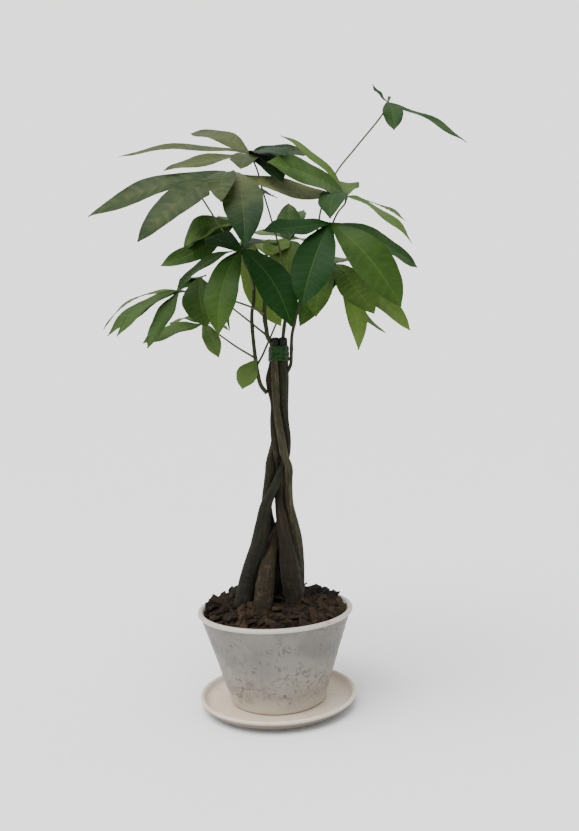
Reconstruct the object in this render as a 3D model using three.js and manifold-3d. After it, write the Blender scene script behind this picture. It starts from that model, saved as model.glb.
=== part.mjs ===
// Potted money tree: five plaited trunk strands in a tapered pot that stands on its saucer.
// Millimetres, +Z up. The origin is the middle of the saucer's flat foot.
import * as THREE from 'three';
import { mergeVertices } from 'three/addons/utils/BufferGeometryUtils.js';
import Module from 'manifold-3d';

const wasm = await Module();
wasm.setup();

// ---------------------------------------------------------------- driving dimensions
const GAP = 0.3;                // clearance between neighbouring pieces
const SEGMENTS = 48;            // round the pot and the saucer
const SLIVER = 0.02;            // smallest ripple that a cut leaves on a surface

const SAUCER_FOOT_RADIUS = 80;
const SAUCER_RADIUS = 101;
const SAUCER_HEIGHT = 17.5;
const SAUCER_FLOOR = 8;

const POT_FOOT = SAUCER_FLOOR + GAP;
const POT_FOOT_RADIUS = 61.2;
const POT_RIM_RADIUS = 100;
const POT_RIM_TOP = 127;
const POT_RIM_HEIGHT = 6.2;
const POT_NECK_RADIUS = 95.9;   // outside, just under the rolled rim
const POT_WALL = 5.6;
const POT_FLOOR = 14;
const DRAIN_RADIUS = 7;

const SOIL_TOP = 112;
const MULCH_EDGE = 122;         // mulch height against the rim
const MULCH_BACK_RISE = 8;      // how much higher it is heaped against the rim at the back
const MULCH_CROWN = 139;        // mulch height against the trunk
const CHIP_COUNT = 50;
const CHIP_SIZE = [32, 18, 6.5];  // length, width and thickness of a middling chip
const CHIP_SEED = 41;
const CHIP_RIPPLE = 0.8;        // smallest step kept where chips lie across each other

const STRAND_SIDES = 10;
const STRAND_STEP = 15;         // height of one ring of a strand
const TRUNK_TOP = 474;

const TIE_BOTTOM = 444;
const TIE_TOP = 463;
const TIE_SIDES = 24;
const TIE_THICKNESS = 0.9;
const TIE_RIDGE = 0.7;          // how far each winding stands out

const BLADE_THICKNESS = 0.8;
const BLADE_ROWS = [4, 6];    // of a short and of a long leaflet
const BLADE_LENGTHS = [60, 135];
const BLADE_FOLD = 6;           // degrees that each half rises from the midrib
const BLADE_WAVE = 1.6;         // height of the wave along a margin
const STALK_HALF_WIDTH = 0.9;   // half width of a leaflet where it leaves the hub
const HUB_RADIUS = 3.2;
const PETIOLE_RADIUS = [1.5, 1.15];
const PETIOLE_SIDES = 5;

// Centre and radius of each trunk strand, [x, y, r], at these heights.
const LEVELS = [88, 95, 120, 145, 180, 215, 240, 262, 292, 302, 312, 325, 343, 368, 388, 420, 444, 474];
const STRANDS = {
  strand_front_left: [
    [-44, -25, 6], [-44, -25, 11], [-42, -22, 13], [-37.5, -17, 12.3], [-28, -14, 12.2],
    [-16.2, -14, 11], [-11, -14, 9.2], [-6, -13, 7.6], [9.4, -12, 5.8], [13, -7.8, 5.2], [18.3, -2.5, 4.8],
    [22, -2.5, 5], [23.5, -2.5, 5.1], [22, -4.5, 5], [20.7, -6, 4.5], [21.5, -7, 5.2],
    [21.5, -7.5, 4.6], [22.7, -6.8, 4.5],
  ],
  strand_front: [
    [-18, -41, 6], [-18, -41, 11], [-16, -38, 12.5], [-13.5, -34, 12.3], [-8.5, -26, 10.2],
    [1.5, -3.4, 7.2], [12.4, 6, 5.9], [13.8, 6.5, 5.4], [13, 12.5, 5.8], [13, 12.5, 6.2],
    [13.5, 12.2, 5.2], [15, 8.5, 4.8], [18.5, 8, 4.8], [21.5, 7, 5], [22, 4.4, 5], [23.4, 4.7, 5.5],
    [24, 3, 4.9], [24.2, 3, 4.5],
  ],
  strand_front_right: [
    [28, -21, 7], [28, -21, 12], [26, -20, 13.5], [24, -18, 13], [21, -17, 12],
    [16.5, -14, 8.7], [13.3, -10, 7.4], [10.6, -6, 5.4], [10, 2.5, 4.5], [10.4, 2.8, 4.3], [10.2, 3.1, 4.1],
    [9.7, -3.2, 4.5], [8.2, -5.5, 5], [7.5, -1, 4.7], [8.6, 0.5, 4.4], [4.8, 0.5, 5.5],
    [9.3, 1, 4.5], [10.8, 1.2, 4.5],
  ],
  strand_back_right: [
    [31, 19, 6], [31, 19, 11], [30, 17, 12.5], [28, 14, 11.5], [30, 7, 9.8],
    [29, 2, 9], [26, 3, 7], [23.5, -2, 5.3], [23, -3, 5.7], [24.2, -8.4, 5.6], [24, -13.6, 4.7],
    [19.5, -13, 4.9], [17, -12.5, 5.2], [13.5, -10.5, 4.9], [12, -9, 4.4], [11.6, -9.8, 5.2],
    [12, -8.7, 4.6], [13.5, -8.2, 4.5],
  ],
  strand_back_left: [
    [2, 24, 6], [2, 24, 11], [3, 22, 12], [4, 19, 11.5], [5, 16, 10],
    [0, 14, 9.4], [-5, 10, 7.6], [-6, 5, 6.6], [-1.6, -0.5, 6.4], [0, 0.5, 6.5], [0.4, 2.4, 5.9],
    [2.9, 6.3, 4.8], [8, 7.2, 4.8], [10.5, 8.7, 4.8], [12.2, 9.4, 4.5], [12.2, 9.8, 5.3],
    [14.5, 9.2, 4.5], [16.2, 8.9, 4.5],
  ],
};

// Green shoots: centre line from inside the strand they grow on, and first and last radius.
const SHOOTS = {
  shoot_left: {
    radius: [2.8, 1.9],
    path: [
      [0, -2, 404], [-7, -6, 414], [-11, -8, 434], [-13, -8, 454], [-15, -6, 485],
      [-15, -3, 506], [-12, 0, 523], [-12, 8, 547], [-16, 18, 574],
    ],
  },
  shoot_centre: {
    radius: [3, 2],
    path: [
      [9, -2, 467], [4, -8, 475], [3, -8, 484], [1, -6, 502], [2, -2, 525], [1, 2, 548],
      [-2, 6, 572], [-6, 10, 588],
    ],
  },
  shoot_inner: {
    radius: [2.4, 1.8],
    path: [[23, -6, 466], [24, -5, 477], [27, 0, 497], [30, 6, 522], [30, 10, 548]],
  },
  shoot_outer: {
    radius: [2.3, 1.9],
    path: [
      [27, 3, 429], [32, 2, 439], [33.5, 1, 455], [35, 0, 476], [39, 0, 492], [47, 0, 521],
      [56, 0, 552],
    ],
  },
};

// Compound leaves: the shoot each grows on, the hub of its leaflets, its petiole from the shoot's
// axis to just before the hub, and its leaflets. tip: offset from the hub; arch: rise of the middle
// over the chord; face: where the upper side looks; bow: sideways bend of the middle.
const LEAVES = [
  {
    name: 'leaf_top_left',
    on: 'shoot_inner',
    colour: '#5d6449',
    hub: [-10, 20, 713],
    petiole: [[30, 10, 548], [25, 14, 581], [15, 18, 625], [4, 20, 668], [-2, 21, 694]],
    leaflets: [
      { tip: [-86, 95, 59], width: 38, arch: 9, face: [0, -0.75, 1] },
      { tip: [-172, 10, 6], width: 34, arch: 9, face: [0, -0.55, 1] },
      { tip: [-101, -80, -39], width: 34, arch: 2, face: [0, -0.75, 1] },
      { tip: [46, -80, -27], width: 38, arch: 5, face: [0, -0.6, 1] },
      { tip: [78, 90, 26], width: 36, arch: 2, face: [0, -1, 0.7] },
      { tip: [41, -70, -55], width: 34, arch: 8, face: [0.1, -0.8, 1] },
      { tip: [-9, -80, -40], width: 37, arch: 4, face: [0, -0.6, 1] },
    ],
  },
  {
    name: 'leaf_front_left',
    on: 'shoot_left',
    colour: '#56624a',
    hub: [-32, -60, 669],
    petiole: [[-12, 4, 536], [-18, -18, 565], [-25, -42, 607], [-31, -57, 640]],
    leaflets: [
      { tip: [-172, 0, -46], width: 42, arch: 10, face: [0, -1, 1] },
      { tip: [-103, -60, -89], width: 44, arch: 11, face: [0, -1, 1] },
      { tip: [19, -105, -107], width: 46, arch: 16, face: [0, -0.6, 1], bow: 6 },
      { tip: [-5, -90, -55], width: 32, arch: 10, face: [0, -0.2, 1], bow: -3 },
      { tip: [132, 50, -22], width: 40, arch: -5, face: [0, -1, 1] },
      { tip: [55, 90, -11], width: 26, arch: -3, face: [0.8, 0, 1] },
    ],
  },
  {
    name: 'leaf_upper_right',
    on: 'shoot_outer',
    colour: '#4c7033',
    hub: [111, 0, 650],
    petiole: [[51, 0, 536], [71, 4, 576], [87, -2, 605], [99, -3, 629], [109, -1, 641]],
    leaflets: [
      { tip: [-98, -70, 27], width: 50, arch: 6, face: [0, -1.5, 1] },
      { tip: [-81, 30, 88], width: 27, arch: 9, face: [0, -0.4, 1] },
      { tip: [9, 60, 31], width: 30, arch: 4, face: [0, -1.2, 1] },
      { tip: [-27, -85, -45], width: 34, arch: 12, face: [0, -0.5, 1], bow: -6 },
      { tip: [83, 60, -22], width: 28, arch: 5, face: [0, -0.5, 1] },
      { tip: [78, -20, -66], width: 28, arch: 8, face: [0, -0.35, 1] },
    ],
  },
  {
    name: 'leaf_front_right',
    on: 'shoot_outer',
    colour: '#2f5030',
    hub: [85, -70, 603],
    petiole: [[54, 0, 546], [69, -32, 570], [81, -60, 590]],
    leaflets: [
      { tip: [-39, -60, -103], width: 47, arch: 6, face: [0, -1, 0.5], bow: -2 },
      { tip: [76, -30, -105], width: 50, arch: 13, face: [0, -1, 0.6], bow: 2 },
      { tip: [108, 40, -51], width: 44, arch: 7, face: [0, -0.9, 1] },
      { tip: [-79, -40, -14], width: 35, arch: -1, face: [0, -1, 1] },
      { tip: [39, 100, -1], width: 36, arch: 4, face: [0, -0.4, 1] },
    ],
  },
  {
    name: 'leaf_far_right',
    on: 'shoot_outer',
    colour: '#4c6338',
    hub: [171, 20, 772],
    petiole: [
      [56, 0, 552], [65, 6, 585], [74, 10, 615], [79, 13, 638], [100, 16, 684], [126, 18, 715],
      [164, 20, 759],
    ],
    leaflets: [
      { tip: [-17, 20, 31], width: 11, arch: -2, face: [0, 0, 1] },
      { tip: [-1, -50, -51], width: 26, arch: 6, face: [0, -1, 0.6], bow: 1 },
      { tip: [95, -20, -61], width: 26, arch: 4, face: [0, -0.5, 1] },
      { tip: [10, 55, 27], width: 5, arch: 2, face: [0, -0.5, 1] },
    ],
  },
  {
    name: 'leaf_front_centre',
    on: 'shoot_centre',
    colour: '#2d4b26',
    hub: [-22, -70, 575],
    petiole: [[2, -2, 522], [-5, -25, 545], [-14, -55, 563]],
    leaflets: [
      { tip: [-26, -55, -103], width: 38, arch: 8, face: [0, -1, 0.3], bow: -8 },
      { tip: [56, -45, -96], width: 43, arch: 10, face: [0, -1, 0.5], bow: 8 },
      { tip: [-75, -25, -49], width: 27, arch: 10, face: [0, -0.4, 1] },
      { tip: [42, 62, 14], width: 34, arch: 6, face: [0, -0.4, 1] },
      { tip: [-44, 34, 22], width: 32, arch: 4, face: [0, -1, 0.8] },
    ],
  },
  {
    name: 'leaf_mid_left',
    on: 'shoot_left',
    colour: '#3f6618',
    hub: [-36, 60, 633],
    petiole: [[-16, 18, 574], [-25, 38, 603]],
    leaflets: [
      { tip: [-72, 22, -32], width: 40, arch: 22, face: [0, -1.2, 0.9] },
      { tip: [-99, -20, -56], width: 42, arch: -9, face: [0, -1, 1] },
      { tip: [-64, -10, -29], width: 34, arch: 9, face: [0, -0.7, 1] },
      { tip: [-15, 100, 28], width: 38, arch: 4, face: [0, -0.5, 1] },
    ],
  },
  {
    name: 'leaf_low_left',
    on: 'shoot_centre',
    colour: '#506339',
    hub: [-106, -10, 537],
    petiole: [[1, -6, 504], [-13, -13, 512], [-39, -16, 522], [-72, -14, 533]],
    leaflets: [
      { tip: [-106, 40, -42], width: 21, arch: 16, face: [0, -0.4, 1] },
      { tip: [-88, -20, -55], width: 28, arch: 8, face: [0, -0.7, 1] },
      { tip: [-70, -50, -58], width: 24, arch: 12, face: [0, -0.5, 1] },
      { tip: [-32, -60, -74], width: 24, arch: 6, face: [0, -0.4, 1], bow: 3 },
      { tip: [26, 50, 20], width: 20, arch: 2, face: [0, -0.5, 1] },
    ],
  },
  {
    name: 'leaf_lowest_left',
    on: 'shoot_left',
    colour: '#4b6331',
    hub: [-82, 40, 498],
    petiole: [[-13, -8, 449], [-36, 0, 464], [-57, 14, 480]],
    leaflets: [
      { tip: [-78, -20, -24], width: 34, arch: 4, face: [0, -0.6, 1] },
      { tip: [-51, 50, 4], width: 24, arch: 8, face: [0, -0.3, 1] },
      { tip: [23, -50, -47], width: 22, arch: 4, face: [0, -1, 0.5], bow: 1 },
      { tip: [31, 40, -7], width: 14, arch: 3, face: [0, -0.3, 1] },
    ],
  },
  {
    name: 'leaf_single',
    on: 'shoot_left',
    colour: '#5a7334',
    hub: [-12, -12, 445],
    petiole: [[-12, -8, 448]],
    leaflets: [
      { tip: [-17, -28, -35], width: 26, arch: 3, face: [0, -1, 0.3], bow: -2 },
    ],
  },
  {
    name: 'leaf_low_right',
    on: 'shoot_outer',
    colour: '#4e6a20',
    hub: [95, 30, 569],
    petiole: [[47, 0, 521], [67, 14, 541]],
    leaflets: [
      { tip: [91, -30, -92], width: 38, arch: 8, face: [0, -0.8, 1] },
      { tip: [28, 10, -113], width: 35, arch: 6, face: [0, -0.8, 1], bow: 4 },
      { tip: [68, 30, -91], width: 24, arch: -14, face: [0, -0.6, 1] },
      { tip: [44, -50, -71], width: 44, arch: 4, face: [0, -1, 0.6] },
      { tip: [-29, -50, -72], width: 34, arch: 6, face: [0, -1, 0.6], bow: -7 },
      { tip: [-49, -10, -80], width: 32, arch: 6, face: [0, -1, 0.6] },
      { tip: [30, 120, 20], width: 40, arch: 6, face: [0, -0.5, 1] },
      { tip: [-37, -20, -50], width: 42, arch: 4, face: [0, -1, 0.6] },
    ],
  },
  {
    name: 'leaf_centre_back',
    on: 'shoot_left',
    colour: '#47661d',
    hub: [36, 60, 608],
    petiole: [
      [-11, -6, 440], [-4, 4, 452], [2, 11, 465], [9, 27, 481], [17, 38, 500], [26, 46, 530],
      [35, 50, 566],
    ],
    leaflets: [
      { tip: [2, 62, 68], width: 44, arch: 6, face: [0, -1, 0.8] },
      { tip: [24, 90, 59], width: 22, arch: 4, face: [0, -0.5, 1] },
      { tip: [-4, -45, -56], width: 50, arch: 6, face: [0, -1, 0.4] },
      { tip: [-31, -30, -25], width: 34, arch: 4, face: [0, -0.9, 1] },
      { tip: [-56, 110, 31], width: 40, arch: 6, face: [0, -0.5, 1] },
      { tip: [53, 90, 0], width: 40, arch: 6, face: [0, -0.5, 1] },
    ],
  },
  {
    name: 'leaf_inner_left',
    on: 'shoot_centre',
    colour: '#2d4d1f',
    hub: [-78, -10, 552],
    petiole: [[2, -7, 478], [-7, 3, 486], [-17, 8, 495], [-44, 4, 518], [-65, -2, 536]],
    leaflets: [
      { tip: [11, -50, -65], width: 46, arch: 6, face: [0, -1, 0.5], bow: -3 },
      { tip: [30, 50, -64], width: 28, arch: 6, face: [0, -0.5, 1] },
      { tip: [-29, 110, 6], width: 36, arch: 4, face: [0, -0.5, 1] },
    ],
  },
  {
    name: 'leaf_inner_centre',
    on: 'shoot_centre',
    colour: '#4e6b1e',
    hub: [-20, 44, 611],
    petiole: [[-6, 10, 588], [-12, 26, 601]],
    leaflets: [
      { tip: [41, -14, -120], width: 48, arch: 4, face: [0, -1, 0.5], bow: -6 },
      { tip: [-4, 85, -36], width: 32, arch: 8, face: [0, -0.5, 1] },
      { tip: [33, 85, -15], width: 40, arch: 6, face: [0, -0.5, 1] },
    ],
  },
  {
    name: 'leaf_back_left',
    on: 'shoot_left',
    colour: '#4d5a3c',
    hub: [-83, 40, 674],
    petiole: [[-12, 8, 547], [-22, 14, 570], [-33, 23, 592], [-52, 34, 622], [-76, 39, 663]],
    leaflets: [
      { tip: [-69, 40, 4], width: 38, arch: 6, face: [0, -0.5, 1] },
      { tip: [-42, 110, 34], width: 38, arch: 6, face: [0, -0.4, 1] },
      { tip: [14, 110, 39], width: 36, arch: 4, face: [0, -0.4, 1] },
      { tip: [-39, -30, -38], width: 38, arch: 8, face: [0, -0.5, 1] },
      { tip: [5, -60, -31], width: 34, arch: 4, face: [0, 0, 1] },
    ],
  },
];

// ---------------------------------------------------------------- helpers
const vec = (p) => new THREE.Vector3(p[0], p[1], p[2]);
const mix = (a, b, t) => a + (b - a) * t;
const radians = (degrees) => (degrees * Math.PI) / 180;

function seeded(seed) {
  let state = seed;
  return () => {
    state = (state * 1664525 + 1013904223) % 4294967296;
    return state / 4294967296;
  };
}

function material(colour, roughness) {
  return new THREE.MeshStandardMaterial({ color: colour, roughness });
}

// Collects corners and faces; quads are always cut along their first diagonal.
class Skin {
  constructor() {
    this.points = [];
    this.faces = [];
  }

  add(point) {
    this.points.push(point.x, point.y, point.z);
    return this.points.length / 3 - 1;
  }

  tri(a, b, c) {
    this.faces.push(a, b, c);
  }

  quad(a, b, c, d) {
    this.tri(a, b, c);
    this.tri(a, c, d);
  }

  geometry() {
    const geometry = new THREE.BufferGeometry();
    geometry.setAttribute('position', new THREE.Float32BufferAttribute(this.points, 3));
    geometry.setIndex(this.faces);
    return geometry;
  }
}

// Closed skin over rings of equal count, each ring counter-clockwise seen from the far end.
function ringSkin(rings, joined = false) {
  const skin = new Skin();
  const count = rings[0].length;
  const rows = rings.map((ring) => ring.map((point) => skin.add(point)));
  const last = joined ? rows.length : rows.length - 1;
  for (let i = 0; i < last; i += 1) {
    const low = rows[i];
    const high = rows[(i + 1) % rows.length];
    for (let j = 0; j < count; j += 1) {
      const k = (j + 1) % count;
      skin.quad(low[j], low[k], high[k], high[j]);
    }
  }
  if (!joined) {
    for (let j = 1; j < count - 1; j += 1) {
      skin.tri(rows[0][0], rows[0][j + 1], rows[0][j]);
      skin.tri(rows[last][0], rows[last][j], rows[last][j + 1]);
    }
  }
  return skin.geometry();
}

function toSolid(geometry) {
  const bare = geometry.clone();
  bare.deleteAttribute('normal');
  bare.deleteAttribute('uv');
  const merged = mergeVertices(bare, 1e-4);
  return new wasm.Manifold(new wasm.Mesh({
    numProp: 3,
    vertProperties: new Float32Array(merged.attributes.position.array),
    triVerts: new Uint32Array(merged.index.array),
  }));
}

// The largest body of a solid; scrap that a cut leaves loose is dropped.
function largest(solid) {
  return solid.decompose().reduce((best, body) => (body.volume() > best.volume() ? body : best));
}

function fromSolid(solid, ripple = SLIVER) {
  const rounded = new wasm.Manifold(largest(solid.simplify(ripple)).getMesh());
  const mesh = largest(rounded).getMesh();
  const geometry = new THREE.BufferGeometry();
  geometry.setAttribute('position', new THREE.Float32BufferAttribute(mesh.vertProperties, 3));
  geometry.setIndex(new THREE.Uint32BufferAttribute(mesh.triVerts, 1));
  return geometry;
}

const group = new THREE.Group();
group.name = 'potted_money_tree';

function place(name, geometry, look) {
  const mesh = new THREE.Mesh(geometry, look);
  mesh.name = name;
  group.add(mesh);
}

function lathe(profile, segments = SEGMENTS) {
  const geometry = new THREE.LatheGeometry(profile.map(([r, z]) => new THREE.Vector2(r, z)), segments);
  geometry.rotateX(Math.PI / 2);
  return geometry;
}

// Round bar along a smooth path, its radius easing from the first value to the last.
function bar(path, radii, sides, step) {
  const curve = new THREE.CatmullRomCurve3(path.map(vec), false, 'centripetal');
  const count = Math.max(2, Math.round(curve.getLength() / step));
  const rings = [];
  let across = new THREE.Vector3(1, 0, 0);
  for (let i = 0; i <= count; i += 1) {
    const t = i / count;
    const along = curve.getTangentAt(t);
    across = across.clone().addScaledVector(along, -across.dot(along)).normalize();
    const up = new THREE.Vector3().crossVectors(along, across);
    const centre = curve.getPointAt(t);
    const radius = mix(radii[0], radii[1], t);
    const ring = [];
    for (let j = 0; j < sides; j += 1) {
      const angle = (2 * Math.PI * j) / sides;
      ring.push(centre.clone()
        .addScaledVector(across, radius * Math.cos(angle))
        .addScaledVector(up, radius * Math.sin(angle)));
    }
    rings.push(ring);
  }
  return ringSkin(rings);
}

// ---------------------------------------------------------------- saucer, pot and soil
const saucerProfile = [
  [0, 0], [SAUCER_FOOT_RADIUS + 2, 0], [90, 3], [99, 10], [SAUCER_RADIUS, 14.6],
  [100.4, 16.8], [98.2, SAUCER_HEIGHT], [95.6, 16], [93, 11.5], [88, 8.7],
  [80, SAUCER_FLOOR], [0, SAUCER_FLOOR],
];
place('saucer', lathe(saucerProfile), material('#d9cfc2', 0.5));

const rimFoot = POT_RIM_TOP - POT_RIM_HEIGHT;
const innerNeck = POT_NECK_RADIUS - POT_WALL;
const potProfile = [
  [52, POT_FOOT], [58.1, POT_FOOT], [POT_FOOT_RADIUS, 10.5], [66, 27],
  [POT_NECK_RADIUS, rimFoot - 0.5], [98.6, rimFoot + 0.5], [POT_RIM_RADIUS, rimFoot + 2.4],
  [POT_RIM_RADIUS, rimFoot + 5], [98.6, POT_RIM_TOP - 0.5], [96.5, POT_RIM_TOP],
  [94.2, POT_RIM_TOP - 0.6], [93, rimFoot + 4], [innerNeck, rimFoot - 1], [58, 16],
  [55, POT_FLOOR], [DRAIN_RADIUS, POT_FLOOR], [DRAIN_RADIUS, 9.5], [50, 9.5],
  [52, POT_FOOT],
];
place('pot', lathe(potProfile), material('#c9c3bd', 0.5));

// Radius of the pot's inside at a height, less the clearance.
function cavityRadius(z) {
  const wall = [[55, POT_FLOOR], [58, 16], [innerNeck, rimFoot - 1], [93, rimFoot + 4]];
  const at = Math.max(1, wall.findIndex(([, height]) => height >= z));
  const [[r0, z0], [r1, z1]] = [wall[at - 1], wall[at]];
  return mix(r0, r1, (z - z0) / (z1 - z0)) - GAP;
}

// ---------------------------------------------------------------- trunk strands
// [x, y, r] of a strand at a height, eased smoothly between the given levels.
function strandAt(rows, z) {
  const top = LEVELS.length - 1;
  const above = LEVELS.findIndex((level) => level > z);
  const i = above < 0 ? top - 1 : Math.max(0, above - 1);
  const slope = (k, axis) => {
    const a = Math.max(0, k - 1);
    const b = Math.min(top, k + 1);
    return (rows[b][axis] - rows[a][axis]) / (LEVELS[b] - LEVELS[a]);
  };
  const span = LEVELS[i + 1] - LEVELS[i];
  const t = (z - LEVELS[i]) / span;
  return [0, 1, 2].map((axis) => {
    const [p0, p1] = [rows[i][axis], rows[i + 1][axis]];
    const [m0, m1] = [slope(i, axis) * span, slope(i + 1, axis) * span];
    return (2 * t ** 3 - 3 * t ** 2 + 1) * p0 + (t ** 3 - 2 * t ** 2 + t) * m0
      + (3 * t ** 2 - 2 * t ** 3) * p1 + (t ** 3 - t ** 2) * m1;
  });
}

function strandSkin(rows, extra) {
  const [low, high] = [LEVELS[0], TRUNK_TOP];
  const count = Math.round((high - low) / STRAND_STEP);
  const rings = [];
  for (let i = 0; i <= count; i += 1) {
    const z = mix(low, high, i / count);
    const [x, y, r] = strandAt(rows, z);
    const lift = (i === 0 ? -extra : 0) + (i === count ? extra : 0);
    const ring = [];
    for (let j = 0; j < STRAND_SIDES; j += 1) {
      const angle = (2 * Math.PI * (j + 0.5)) / STRAND_SIDES;
      ring.push(new THREE.Vector3(
        x + (r + extra) * Math.cos(angle),
        y + (r + extra) * Math.sin(angle),
        z + lift,
      ));
    }
    rings.push(ring);
  }
  return ringSkin(rings);
}

const strandLooks = ['#4a4536', '#5d5340', '#3f3b2e', '#544e3c', '#474233'];
let strandRoom = null;          // every strand with the clearance round it
Object.entries(STRANDS).forEach(([name, rows], i) => {
  let solid = toSolid(strandSkin(rows, 0));
  if (strandRoom) solid = solid.subtract(strandRoom);
  const room = toSolid(strandSkin(rows, GAP));
  strandRoom = strandRoom ? strandRoom.add(room) : room;
  place(name, fromSolid(solid), material(strandLooks[i], 0.85));
});

// ---------------------------------------------------------------- soil and bark mulch
const soilProfile = [
  [0, POT_FLOOR + GAP], [cavityRadius(POT_FLOOR + GAP), POT_FLOOR + GAP],
  [cavityRadius(16), 16], [cavityRadius(SOIL_TOP), SOIL_TOP], [0, SOIL_TOP],
];
const soil = toSolid(lathe(soilProfile)).subtract(strandRoom);
place('potting_soil', fromSolid(soil), material('#2c2019', 0.95));

// Height of the mulch at a distance from the middle and in a direction.
function mulchHeight(r, around) {
  const back = THREE.MathUtils.smoothstep(Math.sin(around), -0.3, 0.7);
  const edge = MULCH_EDGE + MULCH_BACK_RISE * back;
  return mix(MULCH_CROWN, edge, (r / cavityRadius(rimFoot)) ** 1.6);
}

function chip(random) {
  const r = 86 * Math.sqrt(random());
  const around = 2 * Math.PI * random();
  const [length, width, thickness] = CHIP_SIZE.map((size) => size * mix(0.7, 1.3, random()));
  const turn = new THREE.Matrix4().makeRotationFromEuler(new THREE.Euler(
    mix(-0.35, 0.35, random()),
    mix(-0.3, 0.3, random()),
    2 * Math.PI * random(),
  ));
  const corner = (x, y, z) => new THREE.Vector3(
    (x * length * mix(0.75, 1, random())) / 2,
    (y * width * mix(0.6, 1, random())) / 2,
    (z * thickness) / 2,
  ).applyMatrix4(turn).add(vec([
    r * Math.cos(around),
    r * Math.sin(around),
    mulchHeight(r, around) + 0.5,
  ]));
  const ring = (z) => [corner(-1, -1, z), corner(1, -1, z), corner(1, 1, z), corner(-1, 1, z)];
  return toSolid(ringSkin([ring(-1), ring(1)]));
}

const mulchFoot = SOIL_TOP + GAP;
const mulchOut = cavityRadius(rimFoot) - 1;
const mound = lathe([
  [0, mulchFoot], [mulchOut, mulchFoot], [mulchOut, MULCH_EDGE], [70, MULCH_EDGE], [45, MULCH_EDGE],
  [20, MULCH_EDGE], [0, MULCH_CROWN],
], 24);
const moundSpots = mound.getAttribute('position');
for (let i = 0; i < moundSpots.count; i += 1) {
  const [x, y, z] = [moundSpots.getX(i), moundSpots.getY(i), moundSpots.getZ(i)];
  if (z > mulchFoot + 1) moundSpots.setZ(i, mulchHeight(Math.hypot(x, y), Math.atan2(y, x)));
}
const cavityProfile = [
  [0, mulchFoot], [cavityRadius(mulchFoot), mulchFoot],
  [cavityRadius(rimFoot - 1), rimFoot - 1], [cavityRadius(rimFoot + 4), rimFoot + 4],
  [cavityRadius(rimFoot + 4), MULCH_CROWN + 30], [0, MULCH_CROWN + 30],
];
const chipRandom = seeded(CHIP_SEED);
let mulch = toSolid(mound);
for (let i = 0; i < CHIP_COUNT; i += 1) mulch = mulch.add(chip(chipRandom));
mulch = mulch.simplify(CHIP_RIPPLE).intersect(toSolid(lathe(cavityProfile, 36)));
place('bark_mulch', fromSolid(mulch.subtract(strandRoom), 0.1), material('#3f2d22', 0.9));

// ---------------------------------------------------------------- tie round the strand tops
const trunkRows = Object.values(STRANDS);

// Distance from a centre to the hull of all strands at a height, in one direction.
function hullReach(z, angle, centre) {
  const circles = trunkRows.map((rows) => strandAt(rows, z));
  let reach = Infinity;
  for (let i = 0; i < 90; i += 1) {
    const side = (2 * Math.PI * i) / 90;
    const [nx, ny] = [Math.cos(side), Math.sin(side)];
    const support = Math.max(...circles.map(([x, y, r]) => (
      (x - centre[0]) * nx + (y - centre[1]) * ny + r)));
    const lean = Math.cos(side - angle);
    if (lean > 0.1) reach = Math.min(reach, support / lean);
  }
  return reach;
}

// Windings of the tie from its top to its foot, as [share of height, share of the ridge].
const windings = [
  [1, 0], [0.95, 1], [0.7, 0.8], [0.64, 0], [0.58, 1], [0.38, 0.7], [0.32, 0], [0.26, 1],
  [0.06, 0.8], [0, 0],
];
const tieCentre = [16.5, 0.3];
const tieRings = [];
for (let i = 0; i < TIE_SIDES; i += 1) {
  const angle = (2 * Math.PI * i) / TIE_SIDES;
  const at = (share, out) => {
    const z = mix(TIE_BOTTOM, TIE_TOP, share);
    const reach = hullReach(z, angle, tieCentre) + GAP + 0.15 + out;
    return new THREE.Vector3(
      tieCentre[0] + reach * Math.cos(angle),
      tieCentre[1] + reach * Math.sin(angle),
      z,
    );
  };
  const inside = [0, 0.25, 0.5, 0.75, 1].map((share) => at(share, 0));
  const outside = windings.map(([share, ridge]) => at(share, TIE_THICKNESS + ridge * TIE_RIDGE));
  tieRings.push([...inside, ...outside]);
}
place('tie_tape', ringSkin(tieRings, true), material('#1f6b2a', 0.45));

// ---------------------------------------------------------------- shoots
const shootRoom = {};
Object.entries(SHOOTS).forEach(([name, { path, radius }]) => {
  const solid = toSolid(bar(path, radius, 8, 15)).subtract(strandRoom);
  place(name, fromSolid(solid), material('#3d4a2a', 0.6));
  shootRoom[name] = toSolid(bar(path, radius.map((r) => r + GAP), 8, 15));
});

// ---------------------------------------------------------------- leaves
// Half width of a leaflet along its length: slender foot, widest past the middle, drawn-out tip.
function outline(t) {
  return Math.sin(Math.PI * Math.min(t, 0.9999) ** 1.22) ** (0.66 + 0.5 * t ** 4);
}

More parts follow.
